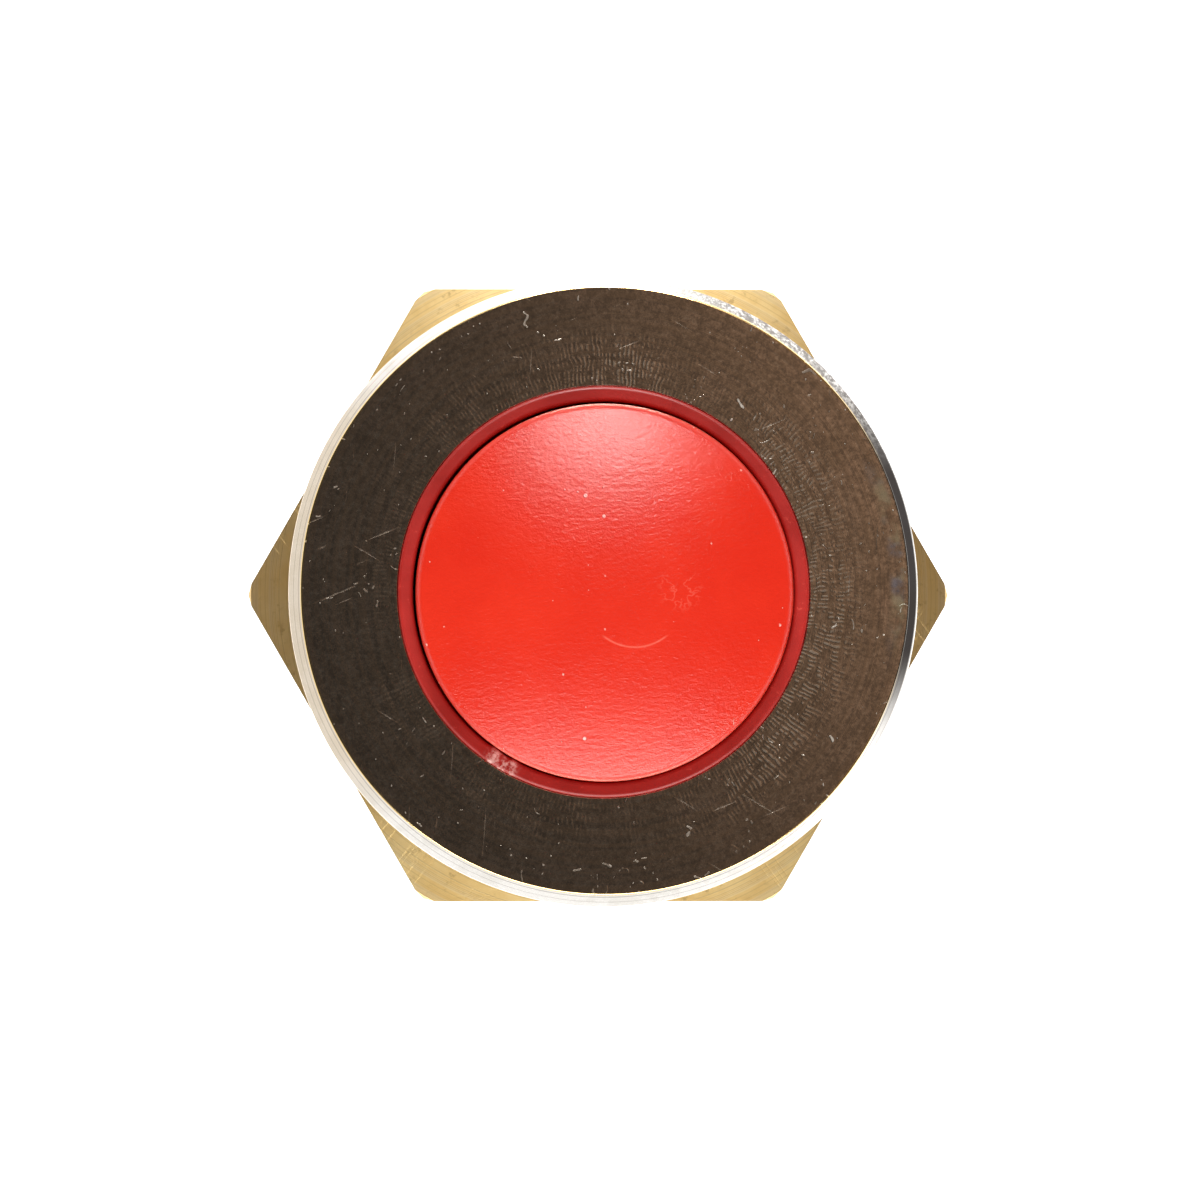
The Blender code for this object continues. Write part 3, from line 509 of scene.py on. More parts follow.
barrelLow, barrelHigh = corners("bezel_bushing")
fitRadius = corners("contact_housing")[1].x
flangeBack = corners("panel_gasket")[1].z + joint
bushing = {"flange": barrelHigh.x, "face": barrelHigh.z, "back": flangeBack, "chamfer": 0.33,
           "thread": 8.0, "root": 7.387, "pitch": 1.0, "relief": 7.2, "threadTop": flangeBack - 1.5,
           "end": barrelLow.z, "frontBore": corners("button_cap")[1].x + 0.48,
           "rearBore": fitRadius + joint, "shoulder": corners("sleeve_gasket")[1].z + joint,
           "groove": 0.4, "steps": 256, "threadSteps": 96, "edge": 0.05, "chamferShift": (0.045, 0.04),
           "plate": ((0.60, 0.53, 0.44), (0.74, 0.65, 0.55)), "grain": (0.30, 0.27, 0.23),
           "glint": (1.0, 0.95, 0.84), "latheMark": (0.46, 0.38, 0.28), "tickHighlight": (0.95, 0.93, 0.80),
           "rim": ((0.90, 0.885, 0.86), (0.82, 0.80, 0.76)), "rimBrass": (0.62, 0.48, 0.30),
           "darkReflectionMottle": (0.20, 0.19, 0.18), "rimLine": (0.30, 0.25, 0.22),
           "rimDarkReflection": ((0.022, 0.018, 0.015), (0.034, 0.030, 0.030)), "arris": (1.0, 0.74, 0.34),
           "oil": ((0.45, 0.62, 1.0), (0.95, 1.0, 0.70)), "dust": (0.80, 0.77, 0.70),
           "bumps": 0.0018}


def nickelPlate():
    # rings from the lathe, rows of chatter ticks near the bore painted pale as painted highlight, dust
    # and a few short scratches
    paint = Finish("nickelPlate", 1.0)
    b = bushing
    reach = paint.distance(*b["chamferShift"])
    onFace = paint.z.step(b["face"] - 0.04, b["face"] - 0.01)
    coarse = paint.rings(5.0, 4.0)
    fine = paint.rings(26.0, 2.0)
    mottle = paint.noise(1.1, 6.0, 0.68)
    grain = paint.noise(7.0, 5.0, 0.75)
    wave = paint.math("SINE", paint.angle * 330.0 + paint.noise(1.9, 3.0) * 14.0)
    rows = paint.noise(1.0, 2.0, 0.6, paint.place(paint.angle * 12.0, paint.radius * 5.5, 0.0))
    patch = paint.noise(0.30, 2.0, 0.5, paint.stretched(0.4, (1.0, 1.0, 1.0))).step(0.40, 0.58)
    near = paint.radius.step(b["frontBore"] + 0.7, b["frontBore"] + 2.0, 1.0, 0.0)
    ticks = wave.step(-0.4, 0.9) * rows.step(0.42, 0.58) * near * onFace
    # painted light: the ticks, and so their pale colour, are strongest at the upper right and fade to a
    # quarter towards the lower left
    ticks = ticks * (patch * 0.8 + 0.2) * (paint.x + paint.y * 0.3).step(-2.0, 3.5, 0.25, 1.0)
    scratch = paint.hairlines(0.4, 0.70) + paint.hairlines(1.5, 0.71) + paint.hairlines(2.6, 0.72)
    scratch = scratch * onFace
    dust = paint.flecks(1.4, 0.10, 0.0) * 0.8 + paint.flecks(2.7, 0.13, 1.1) * 0.55
    dust = dust + paint.flecks(4.3, 0.19, 2.3) * 0.4
    dust = paint.math("MINIMUM", (dust + paint.specks(4.4, 0.10, 9.0) * 0.5) * onFace, 1.0)
    plate = mottle.step(0.38, 0.64).mix(*b["plate"])
    plate = (grain.step(0.46, 0.60) * 0.65 * onFace).mix(plate, b["grain"])
    plate = (grain.step(0.45, 0.35) * 0.55 * onFace).mix(plate, b["glint"])
    plate = (coarse.step(0.40, 0.7) * 0.4 * onFace).mix(plate, b["latheMark"])
    # painted highlight on the real chatter marks
    plate = (ticks * 0.34).mix(plate, b["tickHighlight"])
    # the chamfer is bright, its inner edge shows the brass, and its right side and upper right are
    # painted dark as painted dark reflection
    inner = b["flange"] - b["chamfer"]
    onRim = reach.step(inner - 0.01, inner + 0.03)
    bright = mottle.step(0.42, 0.60).mix(*b["rim"])
    fromLeft = paint.math("ABSOLUTE", paint.math("ABSOLUTE", paint.angle) - pi)
    bright = fromLeft.step(0.5, 0.9, 0.55, 0.0).mix(bright, b["rimBrass"])
    # painted dark reflection: the upper right of the chamfer is painted darker, mottled by the grain
    upperDarkReflection = paint.around(0.85, 0.25, 0.75) * grain.step(0.40, 0.56, 0.35, 1.0)
    bright = upperDarkReflection.mix(bright, b["darkReflectionMottle"])
    plate = onRim.mix(plate, bright)
    lines = reach.band(inner + 0.075, inner + 0.095, 0.010) * 0.6
    lines = lines + reach.band(inner + 0.22, inner + 0.235, 0.008) * 0.4
    plate = lines.mix(plate, b["rimLine"])
    # painted dark reflection: the right side of the chamfer is painted near black, fading at its outer
    # edge
    side = paint.around(0.10, 0.28, 0.75)
    darkReflection = side * onRim * reach.step(b["flange"] - 0.11, b["flange"] - 0.05, 1.0, 0.12)
    plate = darkReflection.mix(plate, paint.rings(3.0, 1.0, paint.angle * 2.0).mix(*b["rimDarkReflection"]))
    arris = reach.band(inner - 0.035, inner + 0.035, 0.010)
    plate = (arris * 0.9 * (1.0 - side)).mix(plate, b["arris"])
    # a thin film of oil on the same side of the face shows faint colours
    tint = reach.band(inner - 0.50, inner - 0.10, 0.10) * paint.around(0.12, 0.16, 0.42)
    tint = tint * paint.noise(1.7, 3.0, 0.6).step(0.36, 0.66) * onFace
    oil = paint.noise(1.1, 2.0).step(0.42, 0.58).mix(*b["oil"])
    plate = (tint * 0.5).mix(plate, oil)
    plate = (dust * 0.8).mix(plate, b["dust"])
    roughness = 0.09 + grain * 0.07 + coarse.step(0.3, 0.7) * 0.03 + scratch * 0.12 + ticks * 0.14
    roughness = roughness + tint * 0.10 + dust * 0.36
    height = coarse * 0.4 + fine * 0.15 + ticks * 0.7 - scratch * 0.6 + dust * 2.0 + grain * 0.3
    height = height * (onFace * 0.9 + 0.1) + mottle * 0.2
    return paint.done(plate, roughness, height, b["bumps"])


def buildBushing():
    b = bushing
    bm = bmesh.new()
    crest = b["pitch"] / 16
    flat = b["pitch"] / 8
    start = b["end"] - 2 * b["pitch"]
    middle = start + b["pitch"] / 2
    turns = int(b["threadTop"] - b["end"]) + 5
    flank = [(b["root"], start), (b["root"], start + flat), (b["root"] + 0.03, start + flat + 0.03),
             (b["thread"] - 0.02, middle - crest - 0.02), (b["thread"], middle - crest),
             (b["thread"], middle + crest), (b["thread"] - 0.02, middle + crest + 0.02),
             (b["root"] + 0.03, start + b["pitch"] - flat - 0.03),
             (b["root"], start + b["pitch"] - flat), (b["root"], start + b["pitch"])]
    helix(bm, flank, b["pitch"], turns, b["threadSteps"])
    trim(bm, b["threadTop"], 1)
    trim(bm, b["end"] + 0.02, -1)
    small = b["root"] - 0.12
    for vert in bm.verts:
        # a 45 degree chamfer at both ends
        height = vert.co.z / mm
        most = small + min(b["threadTop"] - height, height - b["end"] - 0.02) * 0.95
        vert.co.xy *= min(1, most * mm / vert.co.xy.length)
    edge = b["edge"]
    clip = corners("base_retaining_ring")
    groove = b["rearBore"] + b["groove"]
    outline = softened([
        (small, b["threadTop"] + 0.02), (b["relief"], b["threadTop"] + 0.05),
        (b["relief"], b["back"], 0.12), (b["flange"] - 0.16, b["back"], edge),
        (b["flange"], b["back"] + 0.16, edge), (b["flange"], b["face"] - b["chamfer"], 0.04),
        (b["flange"] - b["chamfer"], b["face"], 0.05), (b["frontBore"], b["face"], 0.02),
        (b["frontBore"], b["shoulder"], 0.04), (b["rearBore"], b["shoulder"], 0.04),
        (b["rearBore"], clip[1].z + joint, 0.02), (groove, clip[1].z + joint, 0.03),
        (groove, clip[0].z - joint, 0.03), (b["rearBore"], clip[0].z - joint, 0.02),
        (b["rearBore"], b["end"], 0.15), (small, b["end"]),
    ], closed=False)
    sweep(bm, chain(bm, outline, False), b["steps"], merge=True)
    # the chamfer's inner edge runs a little off centre
    inner = [vert for vert in bm.verts if vert.co.z / mm > b["face"] - 0.06
             and vert.co.xy.length / mm > b["flange"] - 0.6]
    bmesh.ops.translate(bm, verts=inner, vec=Vector((*b["chamferShift"], 0)) * mm)
    bridge(bm, b["threadTop"])
    bridge(bm, b["end"])
    return piece(bm, "bushing", "housing", ["bezel_bushing"], nickelPlate())


buildBushing()
print("bushing done")


# Lock nut: raw brass, faced on the lathe, with a chamfer on both faces

nutLow, nutHigh = corners("lock_nut")
nut = {"flat": nutHigh.y, "corner": nutHigh.x, "front": nutHigh.z, "back": nutLow.z, "chamfer": 0.18,
       "edge": 0.06, "columns": 32, "threadMinor": 7.47, "threadMajor": 8.07, "chamferSlope": 30,
       "brass": ((1.0, 0.79, 0.39), (0.85, 0.61, 0.25)), "pale": (0.90, 0.74, 0.44),
       "spot": (0.40, 0.25, 0.10), "mark": (0.64, 0.46, 0.20), "sideShade": (0.40, 0.225, 0.075),
       "bumps": 0.007}


def rawBrass():
    # facing marks run round the bore, and tarnish gathers between them
    paint = Finish("rawBrass", 1.0, Anisotropic=0.6, Anisotropic_Rotation=0.25)
    coarse = paint.rings(3.4, 4.0)
    fine = paint.rings(22.0, 3.0)
    blotch = paint.noise(0.35, 5.0, 0.62)
    brass = blotch.step(0.36, 0.66).mix(*nut["brass"])
    brass = (coarse.step(0.45, 0.62) * 0.5).mix(brass, nut["pale"])
    brass = (paint.noise(2.6, 4.0, 0.7).step(0.58, 0.72) * 0.5).mix(brass, nut["spot"])
    brass = (fine.step(0.50, 0.66) * 0.5).mix(brass, nut["mark"])
    # the left and right corners are painted darker and browner, as painted shade
    away = (paint.x * paint.x).step(66.0, 84.0) * 0.35
    scratch = paint.hairlines(0.9, 0.62) + paint.hairlines(2.2, 0.64)
    height = coarse * 0.9 + fine * 0.5 + paint.noise(9.0, 2.0) * 0.15 - scratch * 0.3
    # painted shade on the left and right corners
    return paint.done(away.mix(brass, nut["sideShade"]),
                      0.40 + blotch * 0.14 + fine * 0.06 + scratch * 0.1, height, nut["bumps"])


def nextRing(bm, loop):
    # extrudes a loop of edges, and gives the new loop and its vertices
    made = bmesh.ops.extrude_edge_only(bm, edges=loop)["geom"]
    loop = [item for item in edgesIn(made) if all(vert in made for vert in item.verts)]
    return loop, {vert for item in loop for vert in item.verts}


def buildNut():
    n = nut
    bm = bmesh.new()
    start = n["corner"] - n["chamfer"]
    slope = tan(radians(n["chamferSlope"]))
    bore = n["threadMajor"] + 0.10
    edge = n["edge"]

    def shaped(vert, inset, drop, towards):
        # puts a vertex of a ring on the hexagon, pulled in and set below a face
        turn = vert.co.xy.angle_signed(Vector((1, 0))) % (pi / 3) - pi / 6
        reach = min(n["flat"] / cos(turn), n["corner"] - 0.10)
        fall = max(0.0, reach - start) * slope
        reach = min(reach, start) - inset if drop is None else reach
        face = n["front"] if towards > 0 else n["back"]
        away = 0.0 if drop is None else fall + drop
        vert.co.xy = vert.co.xy.normalized() * reach * mm
        vert.co.z = (face - towards * away) * mm

    bmesh.ops.create_circle(bm, segments=6 * n["columns"], radius=bore * mm)
    loop = bm.edges[:]
    rings = [(edge, None, 1), (0.0, None, 1), (0.0, edge, 1), (0.0, edge * 3, 1), (0.0, edge * 3, -1),
             (0.0, edge, -1), (0.0, None, -1), (edge, None, -1)]
    for vert in bm.verts:
        vert.co.z = n["front"] * mm
    for ring in rings:
        loop, verts = nextRing(bm, loop)
        for vert in verts:
            shaped(vert, *ring)
    for vert in nextRing(bm, loop)[1]:
        vert.co.xy = vert.co.xy.normalized() * bore * mm
        vert.co.z = n["back"] * mm
    threadNut(bm, bore)
    return piece(bm, "lockNut", "lock_nut", ["lock_nut"], rawBrass())


def threadNut(bm, bore):
    # the thread in the bore follows the barrel's, a little outside it
    n = nut
    pitch = bushing["pitch"]
    middle = bushing["end"] - 1.5 * pitch
    low = middle - pitch / 2 + pitch * int((n["back"] - middle) / pitch - 1.5)
    crest = pitch / 16 + 0.03
    flat = pitch / 8 - 0.03
    minor = n["threadMinor"]
    flank = [(minor, low), (minor, low + flat), (n["threadMajor"], low + pitch / 2 - crest),
             (n["threadMajor"], low + pitch / 2 + crest), (minor, low + pitch - flat),
             (minor, low + pitch)]
    cut = bmesh.new()
    helix(cut, flank, pitch, 7, bushing["threadSteps"])
    trim(cut, n["front"] - 0.02, 1)
    trim(cut, n["back"] + 0.02, -1)
    for vert in cut.verts:
        height = vert.co.z / mm
        least = bore - min(n["front"] - 0.02 - height, height - n["back"] - 0.02) * 0.95
        vert.co.xy *= max(1, least * mm / vert.co.xy.length)
    mesh = meshOf(cut, "nutThread")
    bm.from_mesh(mesh)
    bpy.data.meshes.remove(mesh)
    bridge(bm, n["front"])
    bridge(bm, n["back"])


buildNut()
print("nut done")


# Gaskets and seal ring: moulded rubber

rubberParts = {"gasketBlack": 0.018, "sealBlack": 0.028, "talc": (0.16, 0.155, 0.15), "bumps": 0.006,
               "gasketRounding": 0.14, "sealRounding": 0.12, "gasketPlay": 0.15}


def rubber(name, lift):
    # matt, with talc dust caught in the surface
    paint = Finish(name, 0.0, Specular_IOR_Level=0.35)
    cloud = paint.noise(0.9, 4.0, 0.6)
    dust = paint.noise(7.0, 3.0, 0.7).step(0.56, 0.74)
    black = cloud.step(0.35, 0.65).mix((lift, lift, lift * 1.02), (lift * 1.7, lift * 1.6, lift * 1.5))
    black = (dust * 0.25).mix(black, rubberParts["talc"])
    return paint.done(black, 0.62 + cloud * 0.18, paint.noise(14.0, 3.0, 0.6) + cloud * 0.5,
                      rubberParts["bumps"])


def flatRing(name, node, inner, rounding, material):
    low, high = corners(node)
    bm = bmesh.new()
    turned(bm, softened([(inner, high.z, rounding), (high.x, high.z, rounding),
                         (high.x, low.z, rounding), (inner, low.z, rounding)]))
    return piece(bm, name, "housing", [node], material)


def buildRubber():
    r = rubberParts
    seal = rubber("sealRubber", r["sealBlack"])
    flatRing("panelGasket", "panel_gasket", bushing["thread"] + r["gasketPlay"], r["gasketRounding"],
             rubber("blackRubber", r["gasketBlack"]))
    flatRing("sleeveGasket", "sleeve_gasket", bushing["frontBore"], r["sealRounding"],
             seal)
    low, high = corners("stem_seal_ring")
    cord = (high.z - low.z) / 2
    bm = bmesh.new()
    middle = (low.z + high.z) / 2
    centre = high.x - cord
    turned(bm, [(centre + cord * cos(pi * i / 12), middle + cord * sin(pi * i / 12))
                for i in range(24)], 96)
    piece(bm, "stemSealRing", "plunger", ["stem_seal_ring"], seal)


buildRubber()
print("rubber parts done")


# Sleeve: the moulded red ring round the button, with a hub that guides the stem

sleeveLow, sleeveHigh = corners("guide_sleeve")
sleeve = {"lip": sleeveHigh.z, "bottom": sleeveLow.z, "outer": bushing["frontBore"] - 0.008,
          "inner": bushing["frontBore"] - 0.44, "fit": sleeveHigh.x, "floor": sleeveLow.z + 1.5,
          "hubTop": sleeveLow.z + 3.7, "hubBore": 2.58, "hub": 3.28, "lipRound": 0.10,
          "gateAngle": 239, "gateRise": 0.035, "edge": 0.08,
          "red": ((0.30, 0.010, 0.007), (0.37, 0.014, 0.010)), "speck": (0.74, 0.10, 0.07),
          "gapLightRed": (0.80, 0.035, 0.020), "gatePale": (0.72, 0.40, 0.36), "bumps": 0.006}


def ringRed():
    # a deeper, glossier red than the cap's, with fine moulding texture
    paint = Finish("sleeveRed", 0.0, Subsurface_Weight=0.0, Specular_IOR_Level=0.55)
    cloud = paint.noise(0.8, 3.0)
    red = cloud.step(0.3, 0.7).mix(*sleeve["red"])
    red = (paint.noise(5.0, 4.0, 0.7).step(0.62, 0.72) * 0.4).mix(red, sleeve["speck"])
    # painted light: below the lip the sleeve is painted a brighter red, lighting the gap round the cap
    depth = sleeve["lip"] - paint.z
    red = (depth.step(0.06, 0.20) * 0.8).mix(red, sleeve["gapLightRed"])
    # the plastic is paler where the gate was cut off
    cut = paint.around(radians(sleeve["gateAngle"]) - 2 * pi, 0.05, 0.11)
    cut = cut * paint.z.step(sleeve["lip"] - 0.08, sleeve["lip"] - 0.03)
    red = (cut * paint.noise(6.0, 4.0, 0.7).step(0.42, 0.62)).mix(red, sleeve["gatePale"])
    return paint.done(red, 0.34 + cloud * 0.12, paint.noise(9.0, 3.0, 0.6), sleeve["bumps"])


def buildSleeve():
    s = sleeve
    bm = bmesh.new()
    edge = s["edge"]
    turned(bm, softened([
        (s["outer"], s["lip"], s["lipRound"]), (s["outer"], s["floor"], edge),
        (s["fit"], s["floor"], edge), (s["fit"], s["bottom"], edge), (s["hubBore"], s["bottom"], 0.12),
        (s["hubBore"], s["hubTop"], edge), (s["hub"], s["hubTop"], edge), (s["hub"], s["floor"], 0.2),
        (s["inner"], s["floor"], 0.2), (s["inner"], s["lip"], s["lipRound"]),
    ]), bushing["steps"])
    # the trimmed gate leaves two low bumps on the lip
    middle = (s["outer"] + s["inner"]) / 2
    for vert in bm.verts:
        if vert.co.z / mm < s["lip"] - s["lipRound"] * 1.1:
            continue
        angle = (atan2(vert.co.y, vert.co.x) - radians(s["gateAngle"]) + pi) % (2 * pi) - pi
        along = angle * middle
        rise = exp(-((along + 0.35) / 0.20) ** 2) + 0.8 * exp(-((along - 0.35) / 0.16) ** 2)
        inward = 1 if vert.co.xy.length / mm < middle else 0.2
        vert.co.xy *= 1 - inward * s["gateRise"] * rise / middle
        vert.co.z += s["gateRise"] * rise * mm
    return piece(bm, "guideSleeve", "housing", ["guide_sleeve"], ringRed())


buildSleeve()
print("sleeve done")


# Button cap: a shallow dome with a fine leathery texture, a skirt and a boss for the stem

capLow, capHigh = corners("button_cap")
cap = {"radius": capHigh.x - 0.04, "crown": capHigh.z, "rise": 1.1, "edge": 0.30, "skirt": capLow.z,
       "wall": 1.0, "roof": capHigh.z - 1.9, "boss": 2.3, "bossBottom": 0.85, "hole": 1.35,
       "holeTop": 2.85, "sag": 0.04, "red": ((0.585, 0.021, 0.009), (0.63, 0.027, 0.011)),
       "dust": (0.93, 0.50, 0.42), "rub": (0.95, 0.30, 0.22), "arcCentre": (0.82, -0.20),
       "arcRadius": (1.38, 1.42), "rubCentre": (2.1, 0.05), "bumps": 0.020}


def capRed():
    # spark-eroded mould texture, tiny pits, pale dust and one faint curved rub mark
    paint = Finish("capRed", 0.0, Specular_IOR_Level=0.5)
    cloud = paint.noise(0.32, 4.0, 0.55)
    red = cloud.step(0.3, 0.7).mix(*cap["red"])
    onTop = paint.z.step(cap["crown"] - cap["rise"] - 0.3, cap["crown"] - cap["rise"])
    dust = paint.specks(1.8, 0.10) + paint.specks(2.9, 0.07, 7.0) + paint.flecks(1.7, 0.07, 3.0)
    dust = paint.math("MINIMUM", dust * onTop, 1.0)
    arc = paint.distance(*cap["arcCentre"]).band(*cap["arcRadius"], 0.03)
    arc = arc * paint.y.step(-1.36, -1.22, 1.0, 0.0) * onTop
    rub = paint.distance(*cap["rubCentre"]).step(0.35, 0.75, 1.0, 0.0)
    rub = rub * paint.noise(1.9, 3.0, 0.6).band(0.47, 0.50, 0.02) * onTop
    red = (dust * 0.7).mix(red, cap["dust"])
    red = (arc * 0.32 + rub * 0.18).mix(red, cap["rub"])
    grain = paint.noise(6.5, 5.0, 0.66, paint.stretched(0.0, (0.75, 1.3, 1.0)))
    fine = paint.noise(16.0, 3.0, 0.6)
    return paint.done(red, 0.13 + fine * 0.08 + cloud * 0.05, grain + fine * 0.3 + dust * 0.8,
                      cap["bumps"])


def buildCap():
    c = cap
    bm = bmesh.new()
    dome = (c["radius"] ** 2 + c["rise"] ** 2) / (2 * c["rise"])
    centre = c["crown"] - dome
    roundX = c["radius"] - c["edge"]
    above = sqrt((dome - c["edge"]) ** 2 - roundX ** 2)
    meet = atan2(above, roundX)
    outline = [(0, c["crown"])]
    for i in range(1, 40):
        angle = pi / 2 + (meet - pi / 2) * i / 40
        outline.append((dome * cos(angle), centre + dome * sin(angle)))
    for i in range(13):
        angle = meet * (1 - i / 12)
        outline.append((roundX + c["edge"] * cos(angle), centre + above + c["edge"] * sin(angle)))
    outline += softened([
        (c["radius"], centre + above - 0.02), (c["radius"], c["skirt"], 0.12),
        (c["radius"] - c["wall"], c["skirt"], 0.12), (c["radius"] - c["wall"], c["roof"], 0.25),
        (c["boss"], c["roof"], 0.2), (c["boss"], c["bossBottom"], 0.1),
        (c["hole"], c["bossBottom"], 0.08), (c["hole"], c["holeTop"], 0.05), (0, c["holeTop"]),
    ], closed=False)
    turned(bm, outline, bushing["steps"], closed=False)
    # the cap hangs low in the sleeve by half its play
    bmesh.ops.translate(bm, verts=bm.verts, vec=(0, -c["sag"] * mm, 0))
    return piece(bm, "buttonCap", "plunger", ["button_cap"], capRed())


buildCap()
print("cap done")


# Stem and its clips

stem = {"pin": 1.3, "pinTop": 2.8, "collar": 2.5, "collarTop": 0.80, "collarBottom": -2.6,
        "shaft": 1.8, "shoulder": -5.3, "tail": 1.1, "end": -9.55, "clipGroove": 0.4,
        "brass": ((0.83, 0.62, 0.31), (0.74, 0.52, 0.23)), "mark": (0.55, 0.37, 0.15), "bumps": 0.006}
clips = {"mouth": 60, "baseMouth": 28, "baseWidth": 0.85, "steps": 96,
         "grey": ((0.16, 0.155, 0.15), (0.30, 0.29, 0.275)), "worn": (0.42, 0.40, 0.37), "bumps": 0.005}


def turnedBrass():
    # fine turning marks along the stem
    paint = Finish("stemBrass", 1.0)
    marks = paint.rings(14.0, 3.0, paint.z)
    blotch = paint.noise(0.8, 3.0)
    brass = blotch.step(0.35, 0.65).mix(*stem["brass"])
    brass = (marks.step(0.55, 0.7) * 0.4).mix(brass, stem["mark"])
    return paint.done(brass, 0.24 + marks * 0.14, marks + blotch * 0.3, stem["bumps"])


def clipSteel():
    # phosphated spring steel, stamped
    paint = Finish("clipSteel", 0.85)
    grain = paint.noise(9.0, 4.0, 0.65)
    grey = grain.step(0.3, 0.7).mix(*clips["grey"])
    grey = (paint.noise(2.0, 3.0).step(0.6, 0.7) * 0.5).mix(grey, clips["worn"])
    return paint.done(grey, 0.36 + grain * 0.2, grain, clips["bumps"])


def grooved(radius, depth, top, bottom):
    # four corners of an outline that make a groove in a shaft
    return [(radius, top, 0.03), (radius - depth, top, 0.02), (radius - depth, bottom, 0.02),
            (radius, bottom, 0.03)]


def buildStem():
    s = stem
    clip = corners("stem_clip")
    small = corners("bridge_clip")
    seal = corners("stem_seal_ring")
    sealDepth = (seal[1].z - seal[0].z) + joint - 0.03
    outline = [(0, s["pinTop"]), (s["pin"] - 0.26, s["pinTop"], 0.05),
               (s["pin"], s["pinTop"] - 0.26, 0.05), (s["pin"], s["collarTop"], 0.05),
               (s["collar"], s["collarTop"], 0.12)]
    outline += grooved(s["collar"], sealDepth, seal[1].z + joint, seal[0].z - joint)
    outline += [(s["collar"], s["collarBottom"], 0.12), (s["shaft"], s["collarBottom"], 0.05)]
    outline += grooved(s["shaft"], s["clipGroove"], clip[1].z + joint, clip[0].z - joint)
    outline += [(s["shaft"], s["shoulder"], 0.10), (s["tail"], s["shoulder"], 0.05)]
    outline += grooved(s["tail"], s["clipGroove"], small[1].z + joint, small[0].z - joint)
    outline += [(s["tail"], s["end"], 0.18), (0, s["end"])]
    bm = bmesh.new()
    turned(bm, softened(outline, closed=False), 96, closed=False)
    piece(bm, "stem", "plunger", ["plunger_stem"], turnedBrass())


def snapRing(name, node, body, inner, mouth, facing, material):
    # a flat stamped ring with a mouth, its edges rolled by the punch
    low, high = corners(node)
    outer = max(-low.x, high.x, -low.y, high.y)
    bm = bmesh.new()
    start = Matrix.Rotation(radians(facing + mouth / 2), 3, "Z")
    edge = min(0.08, (high.z - low.z) * 0.2)
    outline = softened([(inner, high.z, edge), (outer, high.z, edge), (outer, low.z, edge),
                        (inner, low.z, edge)], steps=2)
    geom = chain(bm, outline, True)
    bmesh.ops.rotate(bm, verts=vertsIn(geom), cent=(0, 0, 0), matrix=start)
    sweep(bm, geom, clips["steps"], 2 * pi - radians(mouth))
    bmesh.ops.edgenet_fill(bm, edges=[item for item in bm.edges if item.is_boundary])
    return piece(bm, name, body, [node], material)


def buildClips():
    steel = clipSteel()
    snapRing("stemClip", "stem_clip", "plunger", stem["shaft"] - stem["clipGroove"] + joint,
             clips["mouth"], 0, steel)
    snapRing("bridgeClip", "bridge_clip", "plunger", stem["tail"] - stem["clipGroove"] + joint,
             clips["mouth"], 90, steel)
    ring = corners("base_retaining_ring")[1].x
    snapRing("baseRetainingRing", "base_retaining_ring", "housing", ring - clips["baseWidth"],
             clips["baseMouth"], 90, steel)


buildStem()
buildClips()
print("stem and clips done")


# Springs: drawn wire, with a closed turn at each end

springs = {"returnSpring": {"node": "return_spring", "radius": 3.843, "wire": 0.5, "turns": 5.5,
                            "joint": "button_press", "keep": 0.652},
           "contactSpring": {"node": "contact_spring", "radius": 1.6, "wire": 0.3, "turns": 4.5,
                             "joint": "bridge_overtravel", "keep": 0.82}}
springWire = {"sides": 14, "steps": 48, "closedTurn": 1.15, "bumps": 0.004,
              "grey": ((0.50, 0.49, 0.48), (0.66, 0.65, 0.63))}


def springSteel():
    # drawing marks run along the wire
    paint = Finish("springSteel", 1.0)
    along = paint.place(paint.angle * 1.5, paint.radius * 26.0, paint.z * 26.0)
    drawn = paint.noise(1.0, 4.0, 0.6, along)
    return paint.done(drawn.step(0.3, 0.7).mix(*springWire["grey"]), 0.22 + drawn * 0.2, drawn,
                      springWire["bumps"])


def buildSprings():
    steel = springSteel()
    for name, spring in springs.items():
        low, high = corners(spring["node"])
        wire, turns = spring["wire"], spring["turns"]
        dead = wire * springWire["closedTurn"]
        climb = (high.z - low.z - wire - 2 * dead) / (turns - 2)
        steps = springWire["steps"]
        bm = bmesh.new()
        geom = bmesh.ops.create_circle(bm, segments=springWire["sides"], radius=wire / 2 * mm)["verts"]
        bmesh.ops.rotate(bm, verts=geom, cent=(0, 0, 0), matrix=Matrix.Rotation(pi / 2, 3, "X"))
        bmesh.ops.translate(bm, verts=geom, vec=(spring["radius"] * mm, 0, (low.z + wire / 2) * mm))
        geom = everything(bm)
        for amount, rise in ((1.0, dead), (turns - 2, climb), (1.0, dead)):
            geom = sweep(bm, geom, round(amount * steps), 2 * pi * amount, rise * mm / steps)
        bmesh.ops.holes_fill(bm, edges=[edge for edge in bm.edges if edge.is_boundary], sides=0)
        body = "housing" if spring["joint"] == "button_press" else "bridge"
        made = piece(bm, name, body, [spring["node"]], steel, sharp=50)
        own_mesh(made)


buildSprings()
print("springs done")


# Contacts: copper bridge, silver tips and tinned brass strips that end in solder tabs

contacts = {"strip": 0.5, "tip": 2.937, "head": 0.9, "headHeight": 0.4, "shank": 0.5, "upset": 0.75,
            "upsetHeight": 0.2, "bridgeLong": 3.837, "bridgeHalf": 1.5, "bridgeCorner": 0.4,
            "bladeIn": 4.137, "bladeOut": 4.637, "bladeThin": 4.537, "bend": 0.10, "tab": 2.8,
            "tabHole": 0.6, "tabHoleUp": 1.7, "tabPoint": 0.5, "edge": 0.05, "bumps": 0.008,
            "silver": ((0.90, 0.89, 0.86), (0.72, 0.69, 0.62)), "silverBumps": 0.006}
